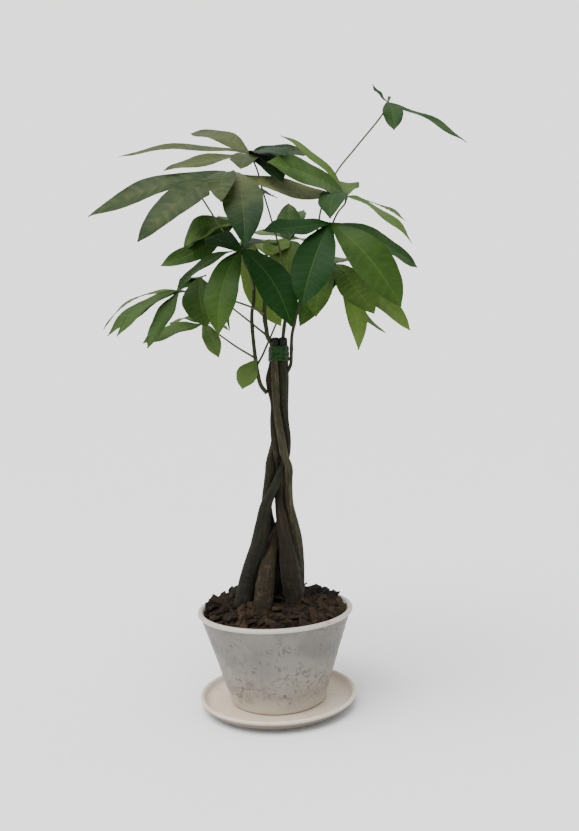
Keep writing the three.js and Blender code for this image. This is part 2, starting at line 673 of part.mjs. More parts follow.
// Leaflet from the hub along its chord, arched up and bowed sideways, with a waved margin.
function leaflet(hub, { tip, width, arch, face, bow = 0 }, random) {
  const chord = vec(tip);
  const along = chord.clone().normalize();
  const up = vec(face);
  up.addScaledVector(along, -up.dot(along)).normalize();
  const side = new THREE.Vector3().crossVectors(up, along);
  const sway = up.clone().multiplyScalar(arch).addScaledVector(side, bow);
  const fold = radians(BLADE_FOLD);
  const phases = [2 * Math.PI * random(), 2 * Math.PI * random()];
  const reach = THREE.MathUtils.smoothstep(chord.length(), ...BLADE_LENGTHS);
  const count = Math.round(mix(...BLADE_ROWS, reach));
  const skin = new Skin();
  const rows = [];
  for (let i = 0; i <= count; i += 1) {
    const t = i / count;
    const centre = vec(hub).addScaledVector(chord, t).addScaledVector(sway, 4 * t * (1 - t));
    const forward = chord.clone().addScaledVector(sway, 4 * (1 - 2 * t)).normalize();
    const across = new THREE.Vector3().crossVectors(up, forward).normalize();
    const normal = new THREE.Vector3().crossVectors(forward, across);
    const half = Math.max((width / 2) * outline(t), STALK_HALF_WIDTH);
    const wave = BLADE_WAVE * Math.min(1, half / 8);
    const point = (k, thickness) => {
      const margin = k === 0 ? 0 : wave * Math.sin(11 * t + phases[k > 0 ? 0 : 1]);
      const lift = half * Math.abs(k) * Math.sin(fold) + margin + thickness;
      return skin.add(centre.clone()
        .addScaledVector(across, half * k * Math.cos(fold))
        .addScaledVector(normal, lift));
    };
    rows.push({
      top: [point(1, BLADE_THICKNESS), point(0, BLADE_THICKNESS), point(-1, BLADE_THICKNESS)],
      foot: [point(1, 0), point(0, 0), point(-1, 0)],
    });
  }
  for (let i = 0; i < count; i += 1) {
    const [a, b] = [rows[i], rows[i + 1]];
    skin.quad(a.top[0], a.top[1], b.top[1], b.top[0]);
    skin.quad(a.top[2], b.top[2], b.top[1], a.top[1]);
    skin.quad(a.foot[0], b.foot[0], b.foot[1], a.foot[1]);
    skin.quad(a.foot[2], a.foot[1], b.foot[1], b.foot[2]);
    skin.quad(a.foot[0], a.top[0], b.top[0], b.foot[0]);
    skin.quad(a.foot[2], b.foot[2], b.top[2], a.top[2]);
  }
  const [first, last] = [rows[0], rows[count]];
  skin.quad(first.foot[2], first.top[2], first.top[1], first.foot[1]);
  skin.quad(first.foot[1], first.top[1], first.top[0], first.foot[0]);
  skin.quad(last.foot[1], last.top[1], last.top[2], last.foot[2]);
  skin.quad(last.foot[0], last.top[0], last.top[1], last.foot[1]);
  return skin.geometry();
}

LEAVES.forEach(({ name, on, colour, hub, petiole, leaflets }, i) => {
  const random = seeded(500 + 7 * i);
  const knob = new THREE.OctahedronGeometry(HUB_RADIUS).translate(...hub);
  let leaf = toSolid(knob).add(toSolid(bar([...petiole, hub], PETIOLE_RADIUS, PETIOLE_SIDES, 26)));
  leaflets.forEach((entry) => {
    leaf = leaf.add(toSolid(leaflet(hub, entry, random)));
  });
  leaf = leaf.subtract(shootRoom[on]);
  place(name, fromSolid(leaf, 0.2), material(colour, 0.5));
});

export default group;
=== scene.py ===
"""Potted money tree: fine leaves, bark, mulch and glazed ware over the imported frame. Metres, +Z up."""

import math
from collections import namedtuple

import bpy
import numpy as np
from mathutils import Matrix, Vector, noise


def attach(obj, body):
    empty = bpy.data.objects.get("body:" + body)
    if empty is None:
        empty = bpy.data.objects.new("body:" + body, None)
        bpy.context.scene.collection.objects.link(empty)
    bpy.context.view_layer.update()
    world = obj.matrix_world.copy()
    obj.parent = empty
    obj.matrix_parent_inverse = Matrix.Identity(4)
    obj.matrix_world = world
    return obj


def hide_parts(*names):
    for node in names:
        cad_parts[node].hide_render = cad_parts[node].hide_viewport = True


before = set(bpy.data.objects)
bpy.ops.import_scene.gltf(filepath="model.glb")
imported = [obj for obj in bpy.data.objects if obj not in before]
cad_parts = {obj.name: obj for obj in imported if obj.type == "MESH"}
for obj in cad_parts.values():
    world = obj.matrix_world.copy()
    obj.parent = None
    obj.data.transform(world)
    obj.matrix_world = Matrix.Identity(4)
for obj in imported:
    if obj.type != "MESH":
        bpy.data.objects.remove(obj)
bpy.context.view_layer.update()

MM = 0.001

CAMERA_SPOT = (0.028, -1.020, 0.413)
CAMERA_TILT = math.radians(2.2)  # tipped down by this much, and leaning sideways by as much
CAMERA_LENS = 34.4  # for a sensor 36 mm wide

AIR_LIGHT = 1.0  # what the surroundings shed on the plant
BACKDROP_LIGHT = 1.93  # how bright they look behind it, as bright as the floor
SKY_LIGHT = 3.75
WINDOW_LIGHT = 5
WINDOW_SPOT = (-1.7, -1.3, 1.2)
FLOOR_REACH = 6.0


def add_object(name, data):
    made = bpy.data.objects.new(name, data)
    bpy.context.scene.collection.objects.link(made)
    return made


# -------- node trees
class Link:
    """A socket that a value comes out of; arithmetic on it adds Math nodes."""

    def __init__(self, tree, socket):
        self.tree = tree
        self.socket = socket

    def math(self, operation, *others):
        return self.tree.node("ShaderNodeMath", [self, *others], operation=operation)

    def __add__(self, other):
        return self.math("ADD", other)

    __radd__ = __add__

    def __sub__(self, other):
        return self.math("SUBTRACT", other)

    def __rsub__(self, other):
        return self.tree.node("ShaderNodeMath", [other, self], operation="SUBTRACT")

    def __mul__(self, other):
        return self.math("MULTIPLY", other)

    __rmul__ = __mul__

    def __pow__(self, other):
        return self.math("POWER", other)

    def __abs__(self):
        return self.math("ABSOLUTE")

    def fract(self):
        return self.math("FRACT")

    def above(self, low, high):
        """0 below low, 1 above high, eased between."""
        return self.tree.node("ShaderNodeMapRange", [self, low, high], interpolation_type="SMOOTHSTEP")


class Tree:
    """Adds nodes to one node tree."""

    def __init__(self, nodes):
        self.nodes = nodes

    def node(self, kind, values=(), out=0, **settings):
        """Values go to the inputs in order, or by name or number."""
        made = self.nodes.nodes.new(kind)
        for key, value in settings.items():
            setattr(made, key, value)
        for key, value in values.items() if isinstance(values, dict) else enumerate(values):
            socket = made.inputs[key]
            if isinstance(value, Link):
                self.nodes.links.new(value.socket, socket)
            else:
                socket.default_value = value
        return None if out is None else Link(self, made.outputs[out])


class Finish(Tree):
    """One procedural material."""

    def __init__(self, name, shown):
        self.material = bpy.data.materials.new(name)
        self.material.use_nodes = True
        self.material.diffuse_color = (*shown, 1)
        super().__init__(self.material.node_tree)
        self.nodes.nodes.clear()
        self.spot = self.node("ShaderNodeTexCoord", out="Object")

    def noise(self, scale, detail=3, rough=0.5, at=None, warp=0):
        values = {"Vector": at or self.spot, "Scale": scale, "Detail": detail}
        values.update({"Roughness": rough, "Distortion": warp})
        return self.node("ShaderNodeTexNoise", values)

    def grain(self, scale, detail, rough, warp=0):
        """Noise drawn out along the axes."""
        at = self.node("ShaderNodeMapping", {"Vector": self.spot, "Scale": scale})
        return self.noise(1.0, detail, rough, at, warp)

    def cells(self, scale):
        return self.node("ShaderNodeTexVoronoi", {"Vector": self.spot, "Scale": scale})

    def lay(self, share, colour, under=None):
        """Covers a share of another colour, or of what is there, with a colour."""
        values = {0: share, 6: paint(under or self.colour), 7: paint(colour)}
        self.colour = self.node("ShaderNodeMix", values, 2, data_type="RGBA")

    def ramp(self, share, *stops):
        made = self.node("ShaderNodeValToRGB", [share])
        ramp = made.socket.node.color_ramp
        while len(ramp.elements) < len(stops):
            ramp.elements.new(0.5)
        for element, (place, colour) in zip(ramp.elements, stops):
            element.position = place
            element.color = (*colour, 1)
        return made

    def parts(self, vector):
        made = self.node("ShaderNodeSeparateXYZ", [vector])
        return [Link(self, output) for output in made.socket.node.outputs]

    def attribute(self, name, out="Fac"):
        return self.node("ShaderNodeAttribute", (), out, attribute_name=name)

    def bump(self, height, depth, strength=1.0):
        values = {"Height": height, "Distance": depth, "Strength": strength}
        return self.node("ShaderNodeBump", values)

    def done(self, roughness, normal, specular=0.5):
        values = {"Base Color": self.colour, "Roughness": roughness, "Specular IOR Level": specular}
        if normal:
            values["Normal"] = normal
        self.node("ShaderNodeOutputMaterial", [self.node("ShaderNodeBsdfPrincipled", values)], out=None)
        return self.material


def paint(colour):
    return colour if isinstance(colour, Link) else (*colour, 1)


def tone(red, green, blue):
    """Linear colour from 0 to 255 values as seen on a screen."""
    return tuple(((c / 255 + 0.055) / 1.055) ** 2.4 if c > 10 else c / 3295 for c in (red, green, blue))


# -------- camera and light
def aim_camera():
    """Half-way up the plant and a metre off, tipped down and leaning a little to one side."""
    lens = bpy.data.cameras.new("front_view")
    lens.lens = CAMERA_LENS
    lens.clip_end = 20
    camera = add_object("front_view", lens)
    tip = Matrix.Rotation(math.pi / 2 - CAMERA_TILT, 4, "X")
    lean = Matrix.Rotation(-CAMERA_TILT, 4, "Z")
    camera.matrix_world = Matrix.Translation(CAMERA_SPOT) @ tip @ lean
    bpy.context.scene.camera = camera


def add_lamp(name, kind, energy, direction):
    """Lamp that shines along a direction."""
    lamp = bpy.data.lights.new(name, kind)
    lamp.energy = energy
    holder = add_object(name, lamp)
    holder.rotation_mode = "QUATERNION"
    holder.rotation_quaternion = Vector(direction).to_track_quat("-Z", "Y")
    return holder


def light_studio():
    """Even white air, a wide soft sky, and a weak lamp to the left of the camera."""
    world = bpy.data.worlds.new("studio_air")
    world.use_nodes = True
    world.node_tree.nodes.clear()
    air = Tree(world.node_tree)
    seen = air.node("ShaderNodeLightPath", out="Is Camera Ray")
    light, backdrop = (
        air.node("ShaderNodeBackground", {"Color": (1, 1, 1, 1), "Strength": strength})
        for strength in (AIR_LIGHT, BACKDROP_LIGHT)
    )
    air.node("ShaderNodeOutputWorld", [air.node("ShaderNodeMixShader", [seen, light, backdrop])], out=None)
    bpy.context.scene.world = world
    sky = add_lamp("overcast", "SUN", SKY_LIGHT, (0.30, 0.32, -1))
    sky.data.angle = math.radians(50)
    window = add_lamp("front_left", "AREA", WINDOW_LIGHT, (1.7, 1.3, -0.85))
    window.location = WINDOW_SPOT
    window.data.shape = "RECTANGLE"
    window.data.size, window.data.size_y = 1.0, 1.2


# -------- finishes
VEIN_PAIRS = 12
VEIN_CROWDING = 0.92  # under 1, the side veins stand closer towards the foot
VEIN_SLANT = 0.85  # how far a side vein climbs towards the margin, in vein spacings
VEIN_START = 4  # keeps the count of veins above zero

DAMP_FOOT = (0.13, 0.31)  # heights between which the trunk dries out
SCURFY_FOOT = (0.13, 0.24)
RINGED_FOOT = (0.15, 0.28)
SEALED_TOP = (0.440, 0.466)  # wax over the cut ends
GLOSSY_TOP = (0.455, 0.468)

POT_FOOT_BAND = (0.012, 0.036)  # plain glaze below, whitewash above
POT_RIM_BAND = (0.1212, 0.1226)
POT_RIM = (0.118, 0.122)
POT_UPLIGHT = (0.02, 0.095)  # painted light: lighter towards the foot, as if lit from the saucer


def veins(along, aside):
    """Count of side veins passed; works on sockets and on arrays."""
    return along**VEIN_CROWDING * VEIN_PAIRS - aside * VEIN_SLANT + VEIN_START


def blade_place(f):
    """Distance from the midrib, 0 to 1, and distance from the middle between two side veins."""
    across, along, _ = f.parts(f.node("ShaderNodeUVMap", uv_map="blade"))
    aside = abs(across - 0.5) * 2
    return aside, abs(veins(along, aside).fract() - 0.5)


def leaf_finish(name, lit, shaded, vein_and_light, pillow_sheen, mottle):
    """Upper side of a leaflet: light midrib, faint side veins, pillowed between them; painted light, shade
    and sheen.
    """
    f = Finish(name, lit)
    aside, off_middle = blade_place(f)
    midrib = 1 - aside.above(0.012, 0.055)
    side_vein = off_middle.above(0.40, 0.5) * (1 - midrib)
    cloud = f.noise(38, 3)
    fine = f.noise(420, 4, 0.6)
    # Mottling: partly the blade's own uneven green, partly painted sheen.
    share = f.attribute("tone") + (cloud - 0.5) * mottle + (fine - 0.5) * 0.2 - aside * 0.12
    # Painted sheen on the pillows between side veins, painted shade along the veins.
    share = share + (0.25 - off_middle) * f.noise(55, 3).above(0.4, 0.62) * pillow_sheen
    # Painted light and shade: tone between shaded and lit; over 1 it moves to the vein colour as extra
    # light.
    f.lay(share.above(0, 1), lit, shaded)
    f.lay((share - 1).above(0, 1), vein_and_light)
    f.lay(side_vein * 0.05 + midrib * 0.17, vein_and_light)
    roughness = 0.5 + (fine - 0.5) * 0.16 + midrib * 0.08
    pillow = off_middle * -1 + fine * 0.25 - midrib * 0.6
    return f.done(roughness, f.bump(pillow, 0.0006, 0.5), 0.1)


def under_finish(name, lit, shaded):
    """Under side: paler, matt, with raised veins and painted light and shade."""
    f = Finish(name, lit)
    aside, off_middle = blade_place(f)
    raised = off_middle.above(0.4, 0.5) * 0.5 + (1 - aside.above(0.03, 0.1))
    cloud = f.noise(60, 4, 0.6)
    share = f.attribute("tone") * 0.8 + (cloud - 0.5) * 0.4 + 0.1
    # Painted light and shade: the tone picks between the shaded and the lit colour.
    f.lay(share.above(0, 1), lit, shaded)
    f.lay(raised * 0.25, lit)
    return f.done(0.66 + (cloud - 0.5) * 0.15, f.bump(raised, 0.0004, 0.4), 0.12)


def stem_finish(name, green, brown):
    """Smooth green stem with corky flecks and lengthwise streaks."""
    f = Finish(name, green)
    streak = f.grain((900, 900, 60), 3, 0.6)
    fleck = f.noise(260, 4, 0.7)
    f.lay((streak * 0.6 + fleck * 0.5).above(0.42, 0.72), brown, green)
    return f.done(0.55 + fleck * 0.25, f.bump(streak + fleck, 0.0003, 0.6), 0.2)


def bark_finish(name, dark, mid, light):
    """Weathered bark: long fissures, lighter ridges, greenish stains, a damp foot and a sealed top."""
    f = Finish(name, mid)
    lengthwise = f.attribute("grain", "Vector")
    fissure = f.noise(1.0, 6, 0.62, lengthwise, warp=0.6)
    fine = f.noise(3.2, 5, 0.7, lengthwise)
    stain = f.noise(42, 4, 0.6)
    pits = f.noise(330, 3, 0.6)
    _, _, height = f.parts(f.spot)
    f.colour = f.ramp(fissure * 0.65 + fine * 0.35, (0.32, dark), (0.5, mid), (0.68, light))
    f.lay((stain + (fine - 0.5) * 0.3).above(0.5, 0.68) * 0.65, tone(30, 39, 14))
    f.lay(height.above(*SEALED_TOP) * 0.9, tone(7, 13, 6))
    f.lay((1 - height.above(*DAMP_FOOT)) * 0.68, dark)
    scurf = f.noise(120, 5, 0.72).above(0.5, 0.62) * (1 - height.above(*SCURFY_FOOT))
    rings = f.grain((70, 70, 520), 3, 0.6).above(0.54, 0.66) * (1 - height.above(*RINGED_FOOT))
    f.lay((scurf + rings * 0.6) * 0.38, light)
    roughness = 0.72 + (fine - 0.5) * 0.3 - height.above(*GLOSSY_TOP) * 0.35
    relief = fissure + fine * 0.5 + pits * 0.25
    return f.done(roughness, f.bump(relief, 0.0022, 0.9), 0.2)


def chip_finish(name):
    """Bark chips: each its own brown, with torn fibres along it."""
    f = Finish(name, tone(62, 42, 30))
    fibre = f.grain((340, 110, 420), 5, 0.7, 0.8)
    dust = f.noise(900, 3, 0.6)
    share = f.attribute("chip_tone") * 0.75 + (fibre - 0.5) * 0.9 + (dust - 0.5) * 0.2 + 0.02
    browns = [(0.0, (14, 11, 7)), (0.45, (38, 29, 17)), (0.75, (53, 41, 25)), (1.0, (70, 54, 35))]
    f.colour = f.ramp(share, *((place, tone(*colour)) for place, colour in browns))
    return f.done(0.85 + (fibre - 0.5) * 0.2, f.bump(fibre + dust * 0.3, 0.0012, 0.9), 0.2)


def mulch_bed_finish(name):
    f = Finish(name, tone(34, 24, 18))
    crumb = f.noise(160, 5, 0.7)
    f.lay(crumb.above(0.35, 0.7), tone(34, 25, 17), tone(9, 7, 5))
    return f.done(0.9 + (crumb - 0.5) * 0.1, f.bump(crumb, 0.002))


def soil_finish(name):
    f = Finish(name, tone(44, 32, 24))
    crumb = f.noise(210, 6, 0.7)
    f.lay(crumb.above(0.35, 0.7), tone(70, 52, 38), tone(26, 19, 15))
    return f.done(0.9 + (crumb - 0.5) * 0.1, f.bump(crumb + f.cells(420), 0.0015))


def pot_finish(name):
    """Weathered whitewash over grey-mauve clay, worn on raised scrolls, plainer at rim and foot, painted
    light low down.
    """
    f = Finish(name, tone(205, 199, 193))
    _, _, height = f.parts(f.spot)
    wash = f.noise(16, 4, 0.6)
    scuff = f.noise(95, 5, 0.7, warp=0.8)
    speck = f.noise(300, 3, 0.65)
    foot = (height + (scuff - 0.5) * 0.02 + (wash - 0.5) * 0.02).above(*POT_FOOT_BAND)
    wall = foot * (1 - height.above(*POT_RIM_BAND))
    f.lay(wash.above(0.35, 0.65), tone(117, 113, 106), tone(94, 91, 86))
    # Painted light: paler towards the foot, where the saucer throws light on the wall.
    f.lay((1 - height.above(*POT_UPLIGHT)) * 0.75, tone(150, 144, 134))
    f.lay((1 - wall) * 0.85, tone(190, 182, 170))
    worn = f.attribute("relief") * 0.5 + (scuff - 0.5) * 1.8 + (speck - 0.5) * 0.5
    worn = worn.above(0.2, 0.75)
    f.lay(worn * wall * 0.4, tone(90, 84, 78))
    blot = f.noise(62, 4, 0.58, warp=2.2).above(0.56, 0.63) * f.noise(19, 2).above(0.36, 0.54)
    thread = 1 - abs(f.noise(48, 3, 0.5, warp=1.6) - 0.5).above(0.004, 0.028)
    mark = blot + thread * f.noise(28, 2).above(0.5, 0.6) * 0.7
    f.lay(mark * wall * 0.72, tone(80, 70, 66))
    smudge = f.noise(34, 5, 0.65, warp=1.0).above(0.58, 0.74)
    bare = (1 - wall) * 0.3 + height.above(*POT_RIM) * 0.3
    f.lay(smudge * bare, tone(146, 112, 108))
    freckle = 1 - (f.cells(66) + (speck - 0.5) * 0.3).above(0.1, 0.24)
    here = f.noise(45, 2).above(0.52, 0.6)
    f.lay(freckle * here * wall * 0.75, tone(78, 66, 66))
    roughness = 0.5 + (scuff - 0.5) * 0.3 + worn * 0.15 - (1 - wall) * 0.12
    return f.done(roughness, f.bump(scuff + speck * 0.3, 0.0007, 0.5))


def saucer_finish(name):
    """Cream glaze with faint cloudy stains, a slightly mottled gloss and painted shade at its foot."""
    f = Finish(name, tone(226, 217, 206))
    cloud = f.noise(11, 4, 0.6)
    stain = f.noise(42, 5, 0.65, warp=0.7)
    speck = f.noise(380, 2)
    f.lay(cloud.above(0.35, 0.68), tone(214, 202, 184), tone(206, 186, 162))
    f.lay(stain.above(0.56, 0.75) * 0.3, tone(148, 132, 118))
    f.lay(speck.above(0.66, 0.74) * 0.35, tone(130, 114, 102))
    # Painted shade: the outer side is drawn darker towards its foot.
    f.lay(f.attribute("relief").above(0.0, 0.28) * 0.95, tone(78, 74, 66))
    roughness = 0.34 + (stain - 0.5) * 0.25 + (speck - 0.5) * 0.1
    return f.done(roughness, f.bump(cloud + speck * 0.15, 0.0006, 0.35))


def tape_finish(name):
    """Green plastic tie tape: stretched film with creases."""
    f = Finish(name, tone(36, 110, 40))
    crease = f.grain((260, 260, 900), 4, 0.6, 0.6)
    dust = f.noise(500, 3, 0.6)
    f.lay(crease.above(0.38, 0.66), tone(22, 70, 8), tone(4, 22, 3))
    f.lay(dust.above(0.6, 0.75) * 0.3, tone(30, 50, 12))
    return f.done(0.5 + (crease - 0.5) * 0.3, f.bump(crease, 0.0012, 0.9), 0.2)


def floor_finish(name):
    f = Finish(name, (0.9, 0.9, 0.9))
    haze = f.noise(2.5, 3, 0.5)
    f.lay(haze, (0.96, 0.96, 0.96), (0.93, 0.93, 0.93))
    return f.done(0.95 + (haze - 0.5) * 0.05, None)


# -------- making meshes
def raw_mesh(name, points, faces, edges=()):
    mesh = bpy.data.meshes.new(name)
    mesh.from_pydata(points, edges, faces)
    return mesh


def store(mesh, name, values):
    """Keeps a number or a vector for every point."""
    values = np.array(values, float)
    kind, key = ("FLOAT_VECTOR", "vector") if values.ndim > 1 else ("FLOAT", "value")
    mesh.attributes.new(name, kind, "POINT").data.foreach_set(key, values.ravel())


def dress(mesh, finishes, sharp):
    """Materials, and smooth shading except where faces meet at more than an angle in degrees."""
    for finish in finishes:
        mesh.materials.append(finish)
    mesh.polygons.foreach_set("use_smooth", [True] * len(mesh.polygons))
    mesh.set_sharp_from_angle(angle=math.radians(sharp))
    return mesh


def polar(angle, r, z, centre=(0, 0)):
    """Point in metres from an angle, a distance and a height in millimetres."""
    return (centre[0] + r * math.cos(angle)) * MM, (centre[1] + r * math.sin(angle)) * MM, z * MM


def around(sides):
    return [2 * math.pi * j / sides for j in range(sides)]


def tube_faces(rings, sides, closed=False):
    """Faces between each ring of points and the next, and if closed from the last to the first."""
    faces = []
    for i in range(rings if closed else rings - 1):
        low, high = i * sides, (i + 1) % rings * sides
        for j in range(sides):
            k = (j + 1) % sides
            faces.append((low + j, low + k, high + k, high + j))
    return faces


def finish_piece(piece, nodes):
    """Puts an object in the place of its CAD nodes."""
    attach(piece, "root")
    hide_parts(*nodes)


class Grower(Tree):
    """A Geometry Nodes tree with named inputs."""

    def __init__(self, name, inputs):
        super().__init__(bpy.data.node_groups.new(name, "GeometryNodeTree"))
        face = self.nodes.interface
        for way in ("INPUT", "OUTPUT"):
            face.new_socket(name="Geometry", in_out=way, socket_type="NodeSocketGeometry")
        self.keys = {}
        for key, kind in inputs.items():
            made = face.new_socket(name=key, in_out="INPUT", socket_type="NodeSocket" + kind)
            self.keys[key] = made.identifier
        entry = self.nodes.nodes.new("NodeGroupInput")
        self.given = {socket.name: Link(self, socket) for socket in entry.outputs if socket.name}

    def finish(self, geometry):
        geometry = self.node("GeometryNodeRealizeInstances", [geometry])
        values = {"Geometry": geometry, "Material": self.given["Material"]}
        self.node("NodeGroupOutput", [self.node("GeometryNodeSetMaterial", values)], None)

    def grow(self, name, start, values):
        """Plain mesh that the tree makes from a starting mesh."""
        source = add_object(name, start)
        growth = source.modifiers.new("growth", "NODES")
        growth.node_group = self.nodes
        for key, value in values.items():
            growth[self.keys[key]] = value
        depsgraph = bpy.context.evaluated_depsgraph_get()
        mesh = bpy.data.meshes.new_from_object(
            source.evaluated_get(depsgraph), preserve_all_data_layers=True, depsgraph=depsgraph
        )
        bpy.data.objects.remove(source)
        mesh.name = name
        return mesh


# -------- stems
STEM_STEP = 2.5
STEM_KNOT = 4  # length over which a knot swells a stem
CURVE_SAMPLES = 24  # between two given points


def evenly(path, step):
    """Points at even spacing along a path."""
    run = np.concatenate([[0], np.cumsum(np.linalg.norm(np.diff(path, axis=0), axis=1))])
    even = np.linspace(0, run[-1], max(2, round(run[-1] / step)) + 1)
    return np.stack([np.interp(even, run, column) for column in path.T], axis=1)


def between(t, start, end, first, last):
    """Straight from the first to the last while t goes from start to end."""
    return (end - t) / (end - start) * first + (t - start) / (end - start) * last


def smooth_path(points):
    """Points at even spacing along a centripetal Catmull-Rom curve through the given ones."""
    knots = [np.array(p, float) for p in points]
    knots = [2 * knots[0] - knots[1], *knots, 2 * knots[-1] - knots[-2]]
    dense = []
    for a, b, c, d in zip(knots, knots[1:], knots[2:], knots[3:]):
        gaps = [max(np.linalg.norm(gap), 1e-6) ** 0.5 for gap in (b - a, c - b, d - c)]
        t0, t1, t2, t3 = np.cumsum([0.0, *gaps])
        for t in np.linspace(t1, t2, CURVE_SAMPLES, endpoint=False):
            ab = between(t, t0, t1, a, b)
            bc = between(t, t1, t2, b, c)
            cd = between(t, t2, t3, c, d)
            abc = between(t, t0, t2, ab, bc)
            bcd = between(t, t1, t3, bc, cd)
            dense.append(between(t, t1, t2, abc, bcd))
    dense.append(knots[-2])
    return evenly(np.array(dense), STEM_STEP)


def stem_grower():
    """Round stem along a path of edges, its radius read from the path."""
    tree = Grower("stem", {"Sides": "Int", "Material": "Material"})
    curve = tree.node("GeometryNodeMeshToCurve", [tree.given["Geometry"]])
    radius = tree.node("GeometryNodeInputNamedAttribute", {"Name": "thickness"}, data_type="FLOAT")
    values = {"Resolution": tree.given["Sides"], "Radius": 1}
    ring = tree.node("GeometryNodeCurvePrimitiveCircle", values)
    values = {"Curve": curve, "Profile Curve": ring, "Scale": radius, "Fill Caps": True}
    tree.finish(tree.node("GeometryNodeSetShadeSmooth", [tree.node("GeometryNodeCurveToMesh", values)]))
    return tree


def grow_stem(tree, name, points, radii, sides, finish, knots):
    """Stem in millimetres; knots are (share of the length, swelling) pairs where it thickens."""
    path = smooth_path(points)
    edges = [(i, i + 1) for i in range(len(path) - 1)]
    mesh = raw_mesh(name, [tuple(p * MM) for p in path], [], edges)
    share = np.linspace(0, 1, len(path))
    radius = np.interp(share, np.linspace(0, 1, len(radii)), radii)
    for place, swelling in knots:
        radius = radius + swelling * np.exp(-(((share - place) * len(path) * STEM_STEP / STEM_KNOT) ** 2))
    store(mesh, "thickness", radius * MM)
    return tree.grow(name, mesh, {"Sides": sides, "Material": finish})


# -------- leaflets
ROWS = 54
COLUMNS = 16
FOLD = math.radians(6)  # each half rises this much from the midrib
WAVE = 1.6  # of the margin
PILLOW = 0.62  # swelling of the blade between side veins
KEEL = 0.7  # groove along the midrib
FOOT_HALF_WIDTH = 0.9  # of a leaflet where it leaves its hub
BLADE_LIFT = 0.4
BLADE_THICKNESS = 0.26
MIDRIB_THICKNESS = 0.42  # added at the midrib
MIDRIB_HALF_WIDTH = 0.9

Leaflet = namedtuple("Leaflet", "tip width arch face tone bow", defaults=[0])
Leaf = namedtuple("Leaf", "name look hub petiole leaflets")


def seeded(seed):
    """Steady draws between 0 and 1."""
    state = seed
    while True:
        state = (state * 1664525 + 1013904223) % 4294967296
        yield state / 4294967296


def unit(vector):
    return vector / np.linalg.norm(vector, axis=-1, keepdims=True)


def blade_outline(t):
    """Half width along the length: slender foot, widest past the middle, short drip tip."""
    return np.sin(np.pi * np.minimum(t, 0.9999) ** 1.22) ** (0.64 + 0.3 * t**4)


def blade_grid(hub, leaflet, phases):
    """Upper and lower surface points, rows along the midrib and columns across."""
    chord = np.array(leaflet.tip, float)
    along = chord / np.linalg.norm(chord)
    up = np.array(leaflet.face, float)
    up = unit(up - up.dot(along) * along)
    side = np.cross(up, along)
    sway = up * leaflet.arch + side * leaflet.bow
    t = np.linspace(0, 1, ROWS + 1)[:, None]
    k = np.linspace(-1, 1, COLUMNS + 1)[None, :]
    centre = np.array(hub) + chord * t + sway * 4 * t * (1 - t)
    forward = unit(chord + sway * 4 * (1 - 2 * t))
    across = unit(np.cross(up, forward))
    normal = np.cross(forward, across)
    ragged = 1 + 0.014 * np.sin(t * 19 + phases[0]) + 0.008 * np.sin(t * 41 + phases[1])
    half = np.maximum(leaflet.width / 2 * blade_outline(t) * ragged, FOOT_HALF_WIDTH)
    wave = WAVE * np.minimum(1, half / 8)
    margin = wave * k**2 * np.sin(11 * t + np.where(k > 0, *phases))
    full = np.minimum(1, half / 9)
    bulge = np.sin(np.pi * (veins(t, np.abs(k)) % 1)) ** 0.8
    pillow = PILLOW * full * bulge * np.sqrt(1 - 0.9 * k**2)
    keel = KEEL * full * np.exp(-((k * 9) ** 2))
    lift = half * np.abs(k) * math.sin(FOLD) + margin + pillow * 0.9 - keel * 0.6
    midrib = np.exp(-((k * half / MIDRIB_HALF_WIDTH) ** 2))
    thick = BLADE_THICKNESS + MIDRIB_THICKNESS * midrib
    at = centre[:, None, :] + across[:, None, :] * (half * k * math.cos(FOLD))[..., None]
    top = at + normal[:, None, :] * (lift + BLADE_LIFT + thick / 2)[..., None]
    foot = at + normal[:, None, :] * (lift + BLADE_LIFT - thick / 2)[..., None]
    return top, foot


def blades_mesh(leaf, seed, finishes):
    """Every leaflet of a leaf as closed thin blades, with a map along and across each."""
    draws = seeded(seed)
    rows, columns = ROWS + 1, COLUMNS + 1
    layer = rows * columns
    grid = np.arange(layer).reshape(rows, columns)
    a = grid[:-1, :-1].ravel()
    cells = np.stack([a, a + columns, a + columns + 1, a + 1], axis=1)
    edge = np.concatenate([grid[0], grid[1:, -1], grid[-1, -2::-1], grid[-2::-1, 0]])
    rim = np.stack([edge[:-1], edge[1:], edge[1:] + layer, edge[:-1] + layer], axis=1)
    u, v = np.meshgrid(np.linspace(0, 1, columns), np.linspace(0, 1, rows))
    spots = np.stack([u.ravel(), v.ravel()], axis=1)
    points, faces, tones = [], [], []
    for index, row in enumerate(leaf.leaflets):
        leaflet = Leaflet(*row)
        phases = [2 * math.pi * next(draws), 2 * math.pi * next(draws)]
        top, foot = blade_grid(leaf.hub, leaflet, phases)
        base = index * 2 * layer
        points += [top.reshape(-1, 3), foot.reshape(-1, 3)]
        faces += [cells[:, ::-1] + base, cells + layer + base, rim + base]
        foot_tone, tip_tone = np.broadcast_to(leaflet.tone, 2)
        tones += [(foot_tone + (tip_tone - foot_tone) * v).ravel()] * 2
    count = len(leaf.leaflets)
    points = np.concatenate(points) * MM
    faces = np.concatenate(faces)
    mesh = raw_mesh(leaf.name + "_blades", points.tolist(), faces.tolist())
    under = np.arange(len(cells) * 2 + len(rim)) >= len(cells)
    mesh.polygons.foreach_set("material_index", np.tile(under, count).astype(int))
    store(mesh, "tone", np.concatenate(tones))
    mapping = mesh.uv_layers.new(name="blade")
    mapping.data.foreach_set("uv", np.tile(spots, (2 * count, 1))[faces.ravel()].ravel())
    dress(mesh, finishes, 70)
    mesh.update()
    return mesh


def joined(name, meshes):
    """One object out of several finished meshes, their materials kept."""
    holders = [add_object(name, mesh) for mesh in meshes]
    with bpy.context.temp_override(
        active_object=holders[0], object=holders[0], selected_editable_objects=holders
    ):
        bpy.ops.object.join()
    holders[0].data.name = name
    return holders[0]


